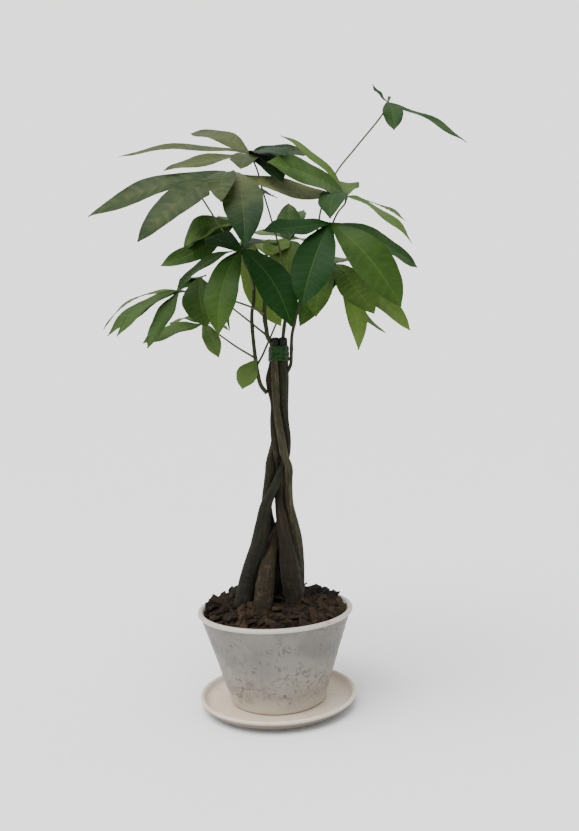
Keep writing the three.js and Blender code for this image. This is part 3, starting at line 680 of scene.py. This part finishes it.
# -------- trunk
# heights, and for each strand its middle (x, y) and its radius there
LEVELS = [88, 95, 120, 145, 180, 215, 240, 262, 292, 302, 312, 325, 343, 368, 388, 420, 444, 474]
STRANDS = {
    "strand_front_left": [
        (-44, -25, 6), (-44, -25, 11), (-42, -22, 13), (-37.5, -17, 12.3), (-28, -14, 12.2),
        (-16.2, -14, 11), (-11, -14, 9.2), (-6, -13, 7.6), (9.4, -12, 5.8), (13, -7.8, 5.2),
        (18.3, -2.5, 4.8), (22, -2.5, 5), (23.5, -2.5, 5.1), (22, -4.5, 5), (20.7, -6, 4.5),
        (21.5, -7, 5.2), (21.5, -7.5, 4.6), (22.7, -6.8, 4.5),
    ],
    "strand_front": [
        (-18, -41, 6), (-18, -41, 11), (-16, -38, 12.5), (-13.5, -34, 12.3), (-8.5, -26, 10.2),
        (1.5, -3.4, 7.2), (12.4, 6, 5.9), (13.8, 6.5, 5.4), (13, 12.5, 5.8), (13, 12.5, 6.2),
        (13.5, 12.2, 5.2), (15, 8.5, 4.8), (18.5, 8, 4.8), (21.5, 7, 5), (22, 4.4, 5), (23.4, 4.7, 5.5),
        (24, 3, 4.9), (24.2, 3, 4.5),
    ],
    "strand_front_right": [
        (28, -21, 7), (28, -21, 12), (26, -20, 13.5), (24, -18, 13), (21, -17, 12), (16.5, -14, 8.7),
        (13.3, -10, 7.4), (10.6, -6, 5.4), (10, 2.5, 4.5), (10.4, 2.8, 4.3), (10.2, 3.1, 4.1),
        (9.7, -3.2, 4.5), (8.2, -5.5, 5), (7.5, -1, 4.7), (8.6, 0.5, 4.4), (4.8, 0.5, 5.5), (9.3, 1, 4.5),
        (10.8, 1.2, 4.5),
    ],
    "strand_back_right": [
        (31, 19, 6), (31, 19, 11), (30, 17, 12.5), (28, 14, 11.5), (30, 7, 9.8), (29, 2, 9), (26, 3, 7),
        (23.5, -2, 5.3), (23, -3, 5.7), (24.2, -8.4, 5.6), (24, -13.6, 4.7), (19.5, -13, 4.9),
        (17, -12.5, 5.2), (13.5, -10.5, 4.9), (12, -9, 4.4), (11.6, -9.8, 5.2), (12, -8.7, 4.6),
        (13.5, -8.2, 4.5),
    ],
    "strand_back_left": [
        (2, 24, 6), (2, 24, 11), (3, 22, 12), (4, 19, 11.5), (5, 16, 10), (0, 14, 9.4), (-5, 10, 7.6),
        (-6, 5, 6.6), (-1.6, -0.5, 6.4), (0, 0.5, 6.5), (0.4, 2.4, 5.9), (2.9, 6.3, 4.8), (8, 7.2, 4.8),
        (10.5, 8.7, 4.8), (12.2, 9.4, 4.5), (12.2, 9.8, 5.3), (14.5, 9.2, 4.5), (16.2, 8.9, 4.5),
    ],
}
# height, direction and swelling of knots that stand out
KNOTS = {"strand_back_left": [(303, 0.2, 0.22), (311, 0.2, 0.22)]}
STRAND_SIDES = 48
STRAND_FOOT, STRAND_TOP, STRAND_STEP = 100.0, 474.0, 2.0
TOP_ROWS = [(3, 1), (1.6, 0.97), (0.6, 0.88), (0, 0.7)]  # depth under the top, share of the radius
SMALL_KNOTS = 6


def strand_at(rows, z):
    """Centre and radius of a strand at a height, eased between its levels."""
    rows = np.array(rows, float)
    top = len(LEVELS) - 1
    i = int(np.clip(np.searchsorted(LEVELS, z, side="right") - 1, 0, top - 1))

    def slope(k):
        a, b = max(0, k - 1), min(top, k + 1)
        return (rows[b] - rows[a]) / (LEVELS[b] - LEVELS[a])

    span = LEVELS[i + 1] - LEVELS[i]
    t = (z - LEVELS[i]) / span
    return (
        (2 * t**3 - 3 * t**2 + 1) * rows[i]
        + (t**3 - 2 * t**2 + t) * slope(i) * span
        + (3 * t**2 - 2 * t**3) * rows[i + 1]
        + (t**3 - t**2) * slope(i + 1) * span
    )


def fractal(x, y, z, octaves=4):
    return noise.fractal(Vector((x, y, z)), 1.0, 2.1, octaves)


def strand_mesh(name, seed, finish):
    """Barked strand with lengthwise ridges, knots and a rounded, sealed end."""
    rows = [(z, 1) for z in np.arange(STRAND_FOOT, STRAND_TOP - 3, STRAND_STEP)]
    rows += [(STRAND_TOP - depth, share) for depth, share in TOP_ROWS]
    draws = seeded(seed)
    knots = [(150 + 300 * next(draws), 2 * math.pi * next(draws), 0.09) for _ in range(SMALL_KNOTS)]
    knots += KNOTS.get(name, [])
    points, grain = [], []
    for z, share in rows:
        x, y, r = strand_at(STRANDS[name], z)
        for angle in around(STRAND_SIDES):
            cx, cy = math.cos(angle), math.sin(angle)
            ridge = fractal(cx * 2.2 + seed, cy * 2.2, z * 0.022)
            fine = fractal(cx * 6 + seed, cy * 6, z * 0.07, 3)
            bulge = sum(
                swell * math.exp(-(((z - kz) / 5) ** 2) - (math.remainder(angle - ka, math.tau) / 0.6) ** 2)
                for kz, ka, swell in knots
            )
            out = r * share * (1 + 0.045 * ridge + 0.03 * fine + bulge) + 0.1
            points.append(polar(angle, out, z, (x, y)))
            grain.append((cx * r * 0.34 + seed * 3, cy * r * 0.34, z * 0.035))
    foot = tuple(reversed(range(STRAND_SIDES)))
    top = tuple(range(len(points) - STRAND_SIDES, len(points)))
    faces = [*tube_faces(len(rows), STRAND_SIDES), foot, top]
    mesh = raw_mesh(name + "_barked", points, faces)
    store(mesh, "grain", grain)
    return dress(mesh, [finish], 75)


# -------- turned ware
SAUCER = [
    (0, 0), (78, 0), (83, 0.3), (90, 3), (99, 10), (101.2, 14.4), (100.6, 17), (98.2, 17.8),
    (95.4, 16), (93, 11.5), (88, 8.5), (80, 8), (0, 8),
]
POT = [
    (50, 9.5), (51, 8.3), (57.6, 8.3), (59.4, 8.6), (61, 10.3), (61.9, 13), (66, 27),
    (95.9, 120.3), (97.2, 121.1), (99.3, 122), (100.3, 124.2), (99.5, 126.2), (97, 127.3),
    (94.3, 126.6), (93.1, 124.8), (91.4, 121.4), (90.1, 118.4), (58.4, 16.5), (55, 14), (8, 14),
    (7, 13.4), (7, 10), (8, 9.5), (50, 9.5),
]


def rounded(profile, step):
    """Profile points at even spacing, corners eased."""
    path = np.array(profile, float)
    for _ in range(2):
        cut = [path[0]]
        for a, b in zip(path, path[1:]):
            cut += [a * 0.75 + b * 0.25, a * 0.25 + b * 0.75]
        path = np.array([*cut, path[-1]])
    return evenly(path, step)


def turned_mesh(name, profile, sides, finish, relief=None):
    """Solid of revolution; relief(angle, r, z) gives how far the skin stands out and a share."""
    points, stands, rings, faces = [], [], [], []
    for r, z in profile:
        pole = abs(r) < 1e-9
        ring = []
        for angle in [0.0] if pole else around(sides):
            out, share = relief(angle, r, z) if relief else (0, 0)
            ring.append(len(points))
            points.append(polar(angle, r + out, z))
            stands.append(share)
        rings.append(ring * sides if pole else ring)
    for low, high in zip(rings, rings[1:]):
        for j in range(sides):
            k = (j + 1) % sides
            face = list(dict.fromkeys((low[j], low[k], high[k], high[j])))
            if len(face) > 2:
                faces.append(face)
    mesh = raw_mesh(name, points, faces)
    store(mesh, "relief", stands)
    return dress(mesh, [finish], 50)


def pot_relief(angle, r, z):
    """Low worn scrolls on the outer wall between the foot band and the rim."""
    edge = min(1.0, (z - 22) / 9, (119.5 - z) / 4)
    if edge <= 0 or r < 63.8 + (z - 27) * 0.317:
        return 0, 0
    x, y = math.cos(angle) * 3.1, math.sin(angle) * 3.1
    warp = fractal(x + 7, y, z * 0.02, 3)
    scroll = fractal(x * 1.9 + warp * 0.9, y * 1.9 - warp * 0.9, z * 0.045 + warp, 3)
    line = max(0.0, 1 - abs(scroll) * 5.5)
    pit = max(0.0, fractal(x * 6, y * 6, z * 0.16, 2) - 0.25)
    return (0.55 * line - 0.9 * pit) * edge - 0.1, edge * min(1.0, line * 0.85 + pit * 1.2)


def saucer_shade(angle, r, z):
    """Share of painted shade on the saucer's outer side, most at its foot."""
    outside = r > 80 and z < r - 84 and z < 16
    return 0, (1 - z / 16) if outside else 0


# -------- mulch
MULCH_CROWN = 139.0
MULCH_EDGE = 122.0
MULCH_BACK_RISE = 8.0
MULCH_REACH = 90.5
MULCH_FLOOR = 112.4
BED_DEPTH = 3.5  # of the crumbly bed under the mound that the chips make
GROUND_DEPTH = 1.5  # of the chips' middles under the same mound
GROUND_RINGS, GROUND_SIDES = 26, 72
CHIPS = {
    "Spacing": 0.0054,
    "Density": 60000.0,
    "Smallest": (0.015, 0.0045, 0.0017),  # metres
    "Largest": (0.043, 0.012, 0.0044),
    "Tilt": 0.55,
    "Tear": 0.0062,
    "Seed": 7,
}
CHIP_BLOCK = [(1, 1, 1), 6, 4, 2]  # size, then points along each side
HALF_TURN = 3.1416


def mulch_height(r, angle):
    """Mound, heaped higher against the rim at the back."""
    share = min(1.0, max(0.0, math.sin(angle) + 0.3))
    edge = MULCH_EDGE + MULCH_BACK_RISE * share * share * (3 - 2 * share)
    return MULCH_CROWN + (edge - MULCH_CROWN) * (r / 92.5) ** 1.6


def mulch_bed_mesh(finish):
    """Crumbly mound under the chips, closed underneath."""
    profile = [(0, MULCH_FLOOR), (87, MULCH_FLOOR)]
    profile += [(r, MULCH_EDGE) for r in np.linspace(MULCH_REACH, 3, 34)] + [(0, MULCH_EDGE)]
    mesh = turned_mesh("mulch_bed", profile, 96, finish)
    for vertex in mesh.vertices:
        x, y, z = vertex.co / MM
        if z > MULCH_FLOOR + 1:
            r = math.hypot(x, y)
            crumb = 2.2 * fractal(x * 0.13, y * 0.13, 3.0) if r < 88 else 0
            vertex.co.z = (mulch_height(r, math.atan2(y, x)) - BED_DEPTH + crumb) * MM
    return mesh


def chip_grower():
    """Bark chips strewn over a surface, each a torn, slightly bent splinter."""
    tree = Grower("chips", {
        "Spacing": "Float", "Density": "Float", "Smallest": "Vector", "Largest": "Vector",
        "Tilt": "Float", "Tear": "Float", "Seed": "Int", "Material": "Material",
    })
    given, node = tree.given, tree.node

    def drawn(low, high, seed):
        values = {0: low, 1: high, "Seed": seed}
        return node("FunctionNodeRandomValue", values, data_type="FLOAT_VECTOR")

    def scaled(vector, scale):
        return node("ShaderNodeVectorMath", {0: vector, "Scale": scale}, operation="SCALE")

    values = {"Mesh": given["Geometry"], "Distance Min": given["Spacing"]}
    values.update({"Density Max": given["Density"], "Seed": given["Seed"]})
    strewn = node("GeometryNodeDistributePointsOnFaces", values, distribute_method="POISSON")
    facing = Link(tree, strewn.socket.node.outputs["Rotation"])
    lean = node("ShaderNodeCombineXYZ", [given["Tilt"], given["Tilt"], HALF_TURN])
    turn = drawn(scaled(lean, -1), lean, 3)
    facing = node("FunctionNodeRotateRotation", [facing, turn], rotation_space="LOCAL")
    size = drawn(given["Smallest"], given["Largest"], 5)
    block = node("GeometryNodeMeshCube", CHIP_BLOCK)
    values = {"Points": strewn, "Instance": block, "Rotation": facing, "Scale": size}
    chips = node("GeometryNodeInstanceOnPoints", values)
    own = node("FunctionNodeRandomValue", {2: 0.0, 3: 1.0, "Seed": 8}, 1, data_type="FLOAT")
    values = {"Geometry": chips, "Name": "chip_tone", "Value": own}
    chips = node("GeometryNodeStoreNamedAttribute", values, data_type="FLOAT", domain="INSTANCE")
    chips = node("GeometryNodeRealizeInstances", [chips])
    values = {"Vector": node("GeometryNodeInputPosition"), "Scale": 85, "Detail": 3}
    torn = node("ShaderNodeTexNoise", values, "Color")
    torn = node("ShaderNodeVectorMath", [torn, (0.5, 0.5, 0.5)], operation="SUBTRACT")
    torn = scaled(torn, given["Tear"])
    chips = node("GeometryNodeSetPosition", {"Geometry": chips, "Offset": torn})
    chips = node("GeometryNodeSetShadeSmooth", {"Geometry": chips, "Shade Smooth": False})
    tree.finish(chips)
    return tree


def strewing_ground():
    """Open patch of the mound that chips are strewn on: clear of the pot's wall and the strands."""
    points = []
    for r in [4 + (MULCH_REACH - 8) * i / (GROUND_RINGS - 1) for i in range(GROUND_RINGS)]:
        for angle in around(GROUND_SIDES):
            lump = 2.4 * fractal(math.cos(angle) * r / 26, math.sin(angle) * r / 26, 5.0, 2)
            z = mulch_height(r, angle) - GROUND_DEPTH + lump * min(1, (90 - r) / 20)
            points.append(polar(angle, r, z))
    feet = [strand_at(rows, 138) for rows in STRANDS.values()]

    def clear(face):
        x, y = points[face[0]][0] / MM, points[face[0]][1] / MM
        return all(math.hypot(x - fx, y - fy) > fr - 1 for fx, fy, fr in feet)

    faces = [face for face in tube_faces(GROUND_RINGS, GROUND_SIDES) if clear(face)]
    return raw_mesh("strewing_ground", points, faces)


def keep_inside_wall(mesh):
    """Draws in what would reach through the pot's wall."""
    for vertex in mesh.vertices:
        x, y, z = vertex.co / MM
        room = min(92.8, 89.2 + max(0.0, z - 118) * 0.36)
        share = min(1.0, room / max(math.hypot(x, y), 1))
        vertex.co = (x * share * MM, y * share * MM, z * MM)


# -------- tie
TIE_LOW, TIE_HIGH = 444.0, 463.0
TIE_CENTRE = (16.5, 0.3)
TIE_SIDES, TIE_ROWS, TIE_WINDINGS = 120, 40, 3
LINING_ROWS = 4
LINING_GAP = 0.3  # between the strands and the tape
HULL_SIDES = 90


def hull_reach(z, angle):
    """How far the bundle of strands reaches from the tie's centre in one direction."""
    circles = [strand_at(rows, z) for rows in STRANDS.values()]
    reach = math.inf
    for side in around(HULL_SIDES):
        nx, ny = math.cos(side), math.sin(side)
        support = max((x - TIE_CENTRE[0]) * nx + (y - TIE_CENTRE[1]) * ny + r for x, y, r in circles)
        lean = math.cos(side - angle)
        if lean > 0.1:
            reach = min(reach, support / lean)
    return reach


def tape_stand(share, angle):
    """How far the wound tape stands out, thinner towards both edges."""
    turn = (share * TIE_WINDINGS + angle / math.tau * 0.6) % 1
    crease = fractal(math.cos(angle) * 4, math.sin(angle) * 4, share * 9)
    out = 1.0 + 0.55 * math.sin(math.pi * turn) ** 0.6 + 0.35 * crease
    return 0.45 + max(0.3, out * min(1.0, 0.55 + min(share, 1 - share) * 7))


def tie_mesh(finish):
    """Windings of stretched tape with creases, a little uneven at both edges, and their lining."""
    rings = [(i / TIE_ROWS, True) for i in range(TIE_ROWS + 1)]
    rings += [(1 - i / LINING_ROWS, False) for i in range(LINING_ROWS + 1)]
    points = []
    for share, outside in rings:
        for angle in around(TIE_SIDES):
            skew = 0.7 * math.sin(angle + 1) + 0.5 * fractal(math.cos(angle) * 2, math.sin(angle) * 2, 9.0)
            z = TIE_LOW + (TIE_HIGH - TIE_LOW) * share + skew * (share - 0.5) * 0.9
            stand = tape_stand(share, angle) if outside else LINING_GAP
            points.append(polar(angle, hull_reach(z, angle) + stand, z, TIE_CENTRE))
    mesh = raw_mesh("tie_tape_wound", points, tube_faces(len(rings), TIE_SIDES, closed=True))
    return dress(mesh, [finish], 50)


# -------- the plant's table
# lit, shaded and vein colours of the upper side, lit and shaded of the under side, pillow sheen and
# mottling;
# lit and shaded are painted light and shade, the vein colour also paints extra light, the sheen is painted
LOOKS = {
    "dark": ((60, 82, 30), (7, 44, 2), (96, 124, 64), (62, 88, 28), (20, 48, 6), 0.3, 0.55),
    # painted sheen: this look's grey stands for the bright sky glancing off the upper leaves
    "grey_green": ((78, 84, 46), (10, 40, 8), (104, 112, 72), (78, 84, 46), (24, 46, 16), 0.6, 0.7),
    "green": ((74, 97, 42), (18, 50, 9), (104, 124, 76), (80, 100, 36), (30, 58, 12), 0.3, 0.55),
    "bright": ((99, 123, 54), (32, 64, 18), (122, 142, 78), (102, 124, 54), (44, 76, 20), 0.3, 0.55),
}
# colours of fissures, flat bark and ridges
BARKS = {
    "strand_front_left": ((10, 9, 4), (25, 23, 13), (50, 46, 29)),
    "strand_front": ((15, 12, 6), (47, 39, 22), (86, 72, 49)),
    "strand_front_right": ((12, 9, 4), (33, 27, 15), (62, 51, 34)),
    "strand_back_right": ((18, 17, 10), (53, 49, 33), (94, 88, 63)),
    "strand_back_left": ((14, 13, 7), (35, 32, 20), (62, 57, 41)),
}
# share of the length and swelling
SHOOT_KNOTS = [(0.25, 0.35), (0.5, 0.3), (0.78, 0.3)]
PETIOLE_KNOTS = [(0, 0.5), (1, 1.5)]
PETIOLE_RADII = (1.5, 1.15, 1.2)
# radii at foot and tip, then the path from foot to tip
SHOOTS = {
    "shoot_left": ((2.8, 1.9), [
        (0, -2, 404), (-7, -6, 414), (-11, -8, 434), (-13, -8, 454), (-15, -6, 485), (-15, -3, 506),
        (-12, 0, 523), (-12, 8, 547), (-16, 18, 574),
    ]),
    "shoot_centre": ((3.0, 2.0), [
        (9, -2, 467), (4, -8, 475), (3, -8, 484), (1, -6, 502), (2, -2, 525), (1, 2, 548), (-2, 6, 572),
        (-6, 10, 588),
    ]),
    "shoot_inner": ((2.4, 1.8), [
        (23, -6, 466), (24, -5, 477), (27, 0, 497), (30, 6, 522), (30, 10, 548),
    ]),
    "shoot_outer": ((2.3, 1.9), [
        (27, 3, 429), (32, 2, 439), (33.5, 1, 455), (35, 0, 476), (39, 0, 492), (47, 0, 521),
        (56, 0, 552),
    ]),
}
# name, look, hub and petiole, then for each leaflet its tip as seen from the hub, width, arch,
# the way its face looks, tone (or tones at foot and tip) and bow to the side; the tone paints light
# and shade on the leaflet, as well as differences in its own green
LEAVES = [
    Leaf("leaf_top_left", "grey_green", (-10, 20, 713), [
        (30, 10, 548), (25, 14, 581), (15, 18, 625), (4, 20, 668), (-2, 21, 694),
    ], [
        ((-86, 95, 59), 38, 9, (0, -0.75, 1), 0.65),
        ((-172, 10, 6), 34, 9, (0, -0.55, 1), 0.65),
        ((-101, -80, -39), 34, 2, (0, -0.75, 1), 0.72),
        ((46, -80, -27), 38, 5, (0, -0.6, 1), (0.3, 0)),
        ((78, 90, 26), 36, 2, (0, -1, 0.7), (-0.1, 0.5)),
        ((41, -70, -55), 34, 8, (0.1, -0.8, 1), (0.3, 0)),
        ((-9, -80, -40), 37, 4, (0, -0.6, 1), 0.5),
    ]),
    Leaf("leaf_front_left", "grey_green", (-32, -60, 669), [
        (-12, 4, 536), (-18, -18, 565), (-25, -42, 607), (-31, -57, 640),
    ], [
        ((-172, 0, -46), 42, 10, (0, -1, 1), (0.25, 0.5)),
        ((-103, -60, -89), 44, 11, (0, -1, 1), (0.5, 0.35)),
        ((19, -105, -107), 46, 16, (0, -0.6, 1), (1.15, -0.1), 6),
        ((-5, -90, -55), 32, 10, (0, -0.2, 1), 0.45, -3),
        ((132, 50, -22), 40, -5, (0, -1, 1), (1.4, 1.7)),
        ((55, 90, -11), 26, -3, (0.8, 0, 1), 0.4),
    ]),
    Leaf("leaf_upper_right", "green", (111, 0, 650), [
        (51, 0, 536), (71, 4, 576), (87, -2, 605), (99, -3, 629), (109, -1, 641),
    ], [
        ((-98, -70, 27), 50, 6, (0, -1.5, 1), 0.5),
        ((-81, 30, 88), 21, 9, (0, -0.4, 1), 0.8),
        ((9, 60, 31), 30, 4, (0, -1.2, 1), 0.65),
        ((-27, -85, -45), 34, 12, (0, -0.5, 1), 0.2, -6),
        ((83, 60, -22), 28, 5, (0, -0.5, 1), 0.95),
        ((78, -20, -66), 28, 8, (0, -0.35, 1), 0.85),
    ]),
    Leaf("leaf_front_right", "dark", (85, -70, 603), [(54, 0, 546), (69, -32, 570), (81, -60, 590)], [
        ((-39, -60, -103), 47, 6, (0, -1, 0.5), 0.05, -2),
        ((76, -30, -105), 50, 13, (0, -1, 0.6), (0.5, 0.6), 2),
        ((108, 40, -51), 44, 7, (0, -0.9, 1), (0.2, 0.4)),
        ((-79, -40, -14), 35, -1, (0, -1, 1), 0),
        ((39, 100, -1), 36, 4, (0, -0.4, 1), 0.3),
    ]),
    Leaf("leaf_far_right", "green", (171, 20, 772), [
        (56, 0, 552), (65, 6, 585), (74, 10, 615), (79, 13, 638), (100, 16, 684), (126, 18, 715),
        (164, 20, 759),
    ], [
        ((-17, 20, 31), 11, -2, (0, 0, 1), 0.3),
        ((-1, -50, -51), 26, 6, (0, -1, 0.6), 0.25, 1),
        ((95, -20, -61), 26, 4, (0, -0.5, 1), 0.3),
        ((10, 55, 27), 5, 2, (0, -0.5, 1), 0.4),
    ]),
    Leaf("leaf_front_centre", "dark", (-22, -70, 575), [(2, -2, 522), (-5, -25, 545), (-14, -55, 563)], [
        ((-26, -55, -103), 38, 8, (0, -1, 0.3), (0.3, 0.8), -8),
        ((56, -45, -96), 43, 10, (0, -1, 0.5), 0, 8),
        ((-75, -25, -49), 27, 10, (0, -0.4, 1), 0.35),
        ((42, 62, 14), 34, 6, (0, -0.4, 1), 0.1),
        ((-44, 34, 22), 32, 4, (0, -1, 0.8), 0),
    ]),
    Leaf("leaf_mid_left", "bright", (-36, 60, 633), [(-16, 18, 574), (-25, 38, 603)], [
        ((-72, 22, -32), 40, 22, (0, -1.2, 0.9), 0.25),
        ((-99, -20, -56), 42, -9, (0, -1, 1), (0.1, 0.4)),
        ((-64, -10, -29), 34, 9, (0, -0.7, 1), 0.6),
        ((-15, 100, 28), 38, 4, (0, -0.5, 1), 0.4),
    ]),
    Leaf("leaf_low_left", "green", (-106, -10, 537), [
        (1, -6, 504), (-13, -13, 512), (-39, -16, 522), (-72, -14, 533),
    ], [
        ((-106, 40, -42), 21, 16, (0, -0.4, 1), 0.9),
        ((-88, -20, -55), 28, 8, (0, -0.7, 1), 0.5),
        ((-70, -50, -58), 24, 12, (0, -0.5, 1), 0.55),
        ((-32, -60, -74), 24, 6, (0, -0.4, 1), 0.45, 3),
        ((26, 50, 20), 20, 2, (0, -0.5, 1), 0.3),
    ]),
    Leaf("leaf_lowest_left", "green", (-82, 40, 498), [(-13, -8, 449), (-36, 0, 464), (-57, 14, 480)], [
        ((-78, -20, -24), 34, 4, (0, -0.6, 1), 0.8),
        ((-51, 50, 4), 24, 8, (0, -0.3, 1), 0.6),
        ((23, -50, -47), 22, 4, (0, -1, 0.5), 1.3, 1),
        ((31, 40, -7), 14, 3, (0, -0.3, 1), 0.3),
    ]),
    Leaf("leaf_single", "green", (-12, -12, 445), [(-12, -8, 448)], [
        ((-17, -28, -35), 26, 3, (0, -1, 0.3), 1.3, -2),
    ]),
    Leaf("leaf_low_right", "bright", (95, 30, 569), [(47, 0, 521), (67, 14, 541)], [
        ((91, -30, -92), 38, 8, (0, -0.8, 1), (0.3, 0.7)),
        ((28, 10, -113), 28, 6, (0, -0.8, 1), (0.5, 0.75), 8),
        ((68, 30, -91), 24, -14, (0, -0.6, 1), 0.5),
        ((44, -50, -71), 44, 4, (0, -1, 0.6), 0.45),
        ((-29, -50, -72), 34, 6, (0, -1, 0.6), 0.45, -7),
        ((-49, -10, -80), 32, 6, (0, -1, 0.6), 0.4),
        ((30, 120, 20), 40, 6, (0, -0.5, 1), 0.4),
        ((-37, -20, -50), 42, 4, (0, -1, 0.6), 0.55),
    ]),
    Leaf("leaf_centre_back", "bright", (36, 60, 608), [
        (-11, -6, 440), (-4, 4, 452), (2, 11, 465), (9, 27, 481), (17, 38, 500), (26, 46, 530),
        (35, 50, 566),
    ], [
        ((2, 62, 63), 34, -4, (0, -1, 0.8), 0.25),
        ((24, 90, 59), 22, 4, (0, -0.5, 1), 0.35),
        ((-4, -45, -56), 50, 6, (0, -1, 0.4), 0.55),
        ((-31, -30, -25), 34, 4, (0, -0.9, 1), 0.8),
        ((-56, 110, 31), 40, 6, (0, -0.5, 1), 0.6),
        ((53, 90, 0), 40, 6, (0, -0.5, 1), 0.6),
    ]),
    Leaf("leaf_inner_left", "dark", (-78, -10, 552), [
        (2, -7, 478), (-7, 3, 486), (-17, 8, 495), (-44, 4, 518), (-65, -2, 536),
    ], [
        ((11, -50, -65), 46, 6, (0, -1, 0.5), 0.55, -3),
        ((30, 50, -64), 28, 6, (0, -0.5, 1), 0.2),
        ((-29, 110, 6), 36, 4, (0, -0.5, 1), 0.3),
    ]),
    Leaf("leaf_inner_centre", "bright", (-20, 44, 611), [(-6, 10, 588), (-12, 26, 601)], [
        ((41, -14, -120), 48, 4, (0, -1, 0.5), (1, 1.1), -6),
        ((-4, 85, -36), 32, 8, (0, -0.5, 1), 0.7),
        ((33, 85, -15), 40, 6, (0, -0.5, 1), 0.7),
    ]),
    Leaf("leaf_back_left", "grey_green", (-83, 40, 674), [
        (-12, 8, 547), (-22, 14, 570), (-33, 23, 592), (-52, 34, 622), (-76, 39, 663),
    ], [
        ((-69, 40, 4), 38, 6, (0, -0.5, 1), 0.5),
        ((-42, 110, 34), 38, 6, (0, -0.4, 1), 0.5),
        ((14, 110, 39), 36, 4, (0, -0.4, 1), 0.5),
        ((-39, -30, -38), 38, 8, (0, -0.5, 1), 0.5),
        ((5, -60, -31), 34, 4, (0, 0, 1), 0.5),
    ]),
]


# -------- assembly
def build_leaves(stems):
    green_stem = stem_finish("green_stem", tone(40, 52, 24), tone(46, 40, 28))
    stalk = stem_finish("leaf_stalk", tone(76, 88, 52), tone(72, 66, 46))
    finishes = {}
    for look, (*colours, pillow_sheen, mottle) in LOOKS.items():
        name = "leaf_" + look
        lit, shaded, vein_and_light, under_lit, under_shaded = (tone(*colour) for colour in colours)
        finishes[look] = [
            leaf_finish(name, lit, shaded, vein_and_light, pillow_sheen, mottle),
            under_finish(name + "_under", under_lit, under_shaded),
        ]
    for name, (radii, path) in SHOOTS.items():
        mesh = grow_stem(stems, name + "_grown", path, radii, 16, green_stem, SHOOT_KNOTS)
        finish_piece(add_object(name + "_grown", mesh), [name])
    for index, leaf in enumerate(LEAVES):
        blades = blades_mesh(leaf, 500 + 7 * index, finishes[leaf.look])
        path = [*leaf.petiole, leaf.hub]
        petiole = grow_stem(stems, leaf.name + "_petiole", path, PETIOLE_RADII, 10, stalk, PETIOLE_KNOTS)
        piece = joined(leaf.name + "_grown", [blades, petiole])
        finish_piece(piece, [leaf.name])


def build_trunk():
    for index, name in enumerate(STRANDS):
        dark, mid, light = (tone(*colour) for colour in BARKS[name])
        bark = bark_finish(name + "_bark", dark, mid, light)
        piece = add_object(name + "_barked", strand_mesh(name, 11 + 5 * index, bark))
        finish_piece(piece, [name])
    piece = add_object("tie_tape_wound", tie_mesh(tape_finish("tie_tape")))
    finish_piece(piece, ["tie_tape"])


def build_mulch():
    piece = add_object("mulch_bed", mulch_bed_mesh(mulch_bed_finish("mulch_bed")))
    finish_piece(piece, ["bark_mulch"])
    values = {**CHIPS, "Material": chip_finish("bark_chips")}
    mesh = chip_grower().grow("mulch_chips", strewing_ground(), values)
    keep_inside_wall(mesh)
    finish_piece(add_object("mulch_chips", mesh), ["bark_mulch"])


def build_ware():
    pot = turned_mesh("pot_glazed", rounded(POT, 1.1), 300, pot_finish("pot_whitewash"), pot_relief)
    finish_piece(add_object("pot_glazed", pot), ["pot"])
    glaze = saucer_finish("saucer_glaze")
    dish = turned_mesh("saucer_glazed", rounded(SAUCER, 1.6), 160, glaze, saucer_shade)
    finish_piece(add_object("saucer_glazed", dish), ["saucer"])
    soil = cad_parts["potting_soil"]
    soil.data.materials.clear()
    soil.data.materials.append(soil_finish("potting_soil"))


def lay_floor():
    far = FLOOR_REACH
    points = [(-far, -far, 0), (far, -far, 0), (far, far, 0), (-far, far, 0)]
    mesh = raw_mesh("floor", points, [(0, 1, 2, 3)])
    mesh.materials.append(floor_finish("pale_floor"))
    add_object("floor", mesh)


aim_camera()
light_studio()
build_ware()
build_mulch()
build_trunk()
build_leaves(stem_grower())
lay_floor()
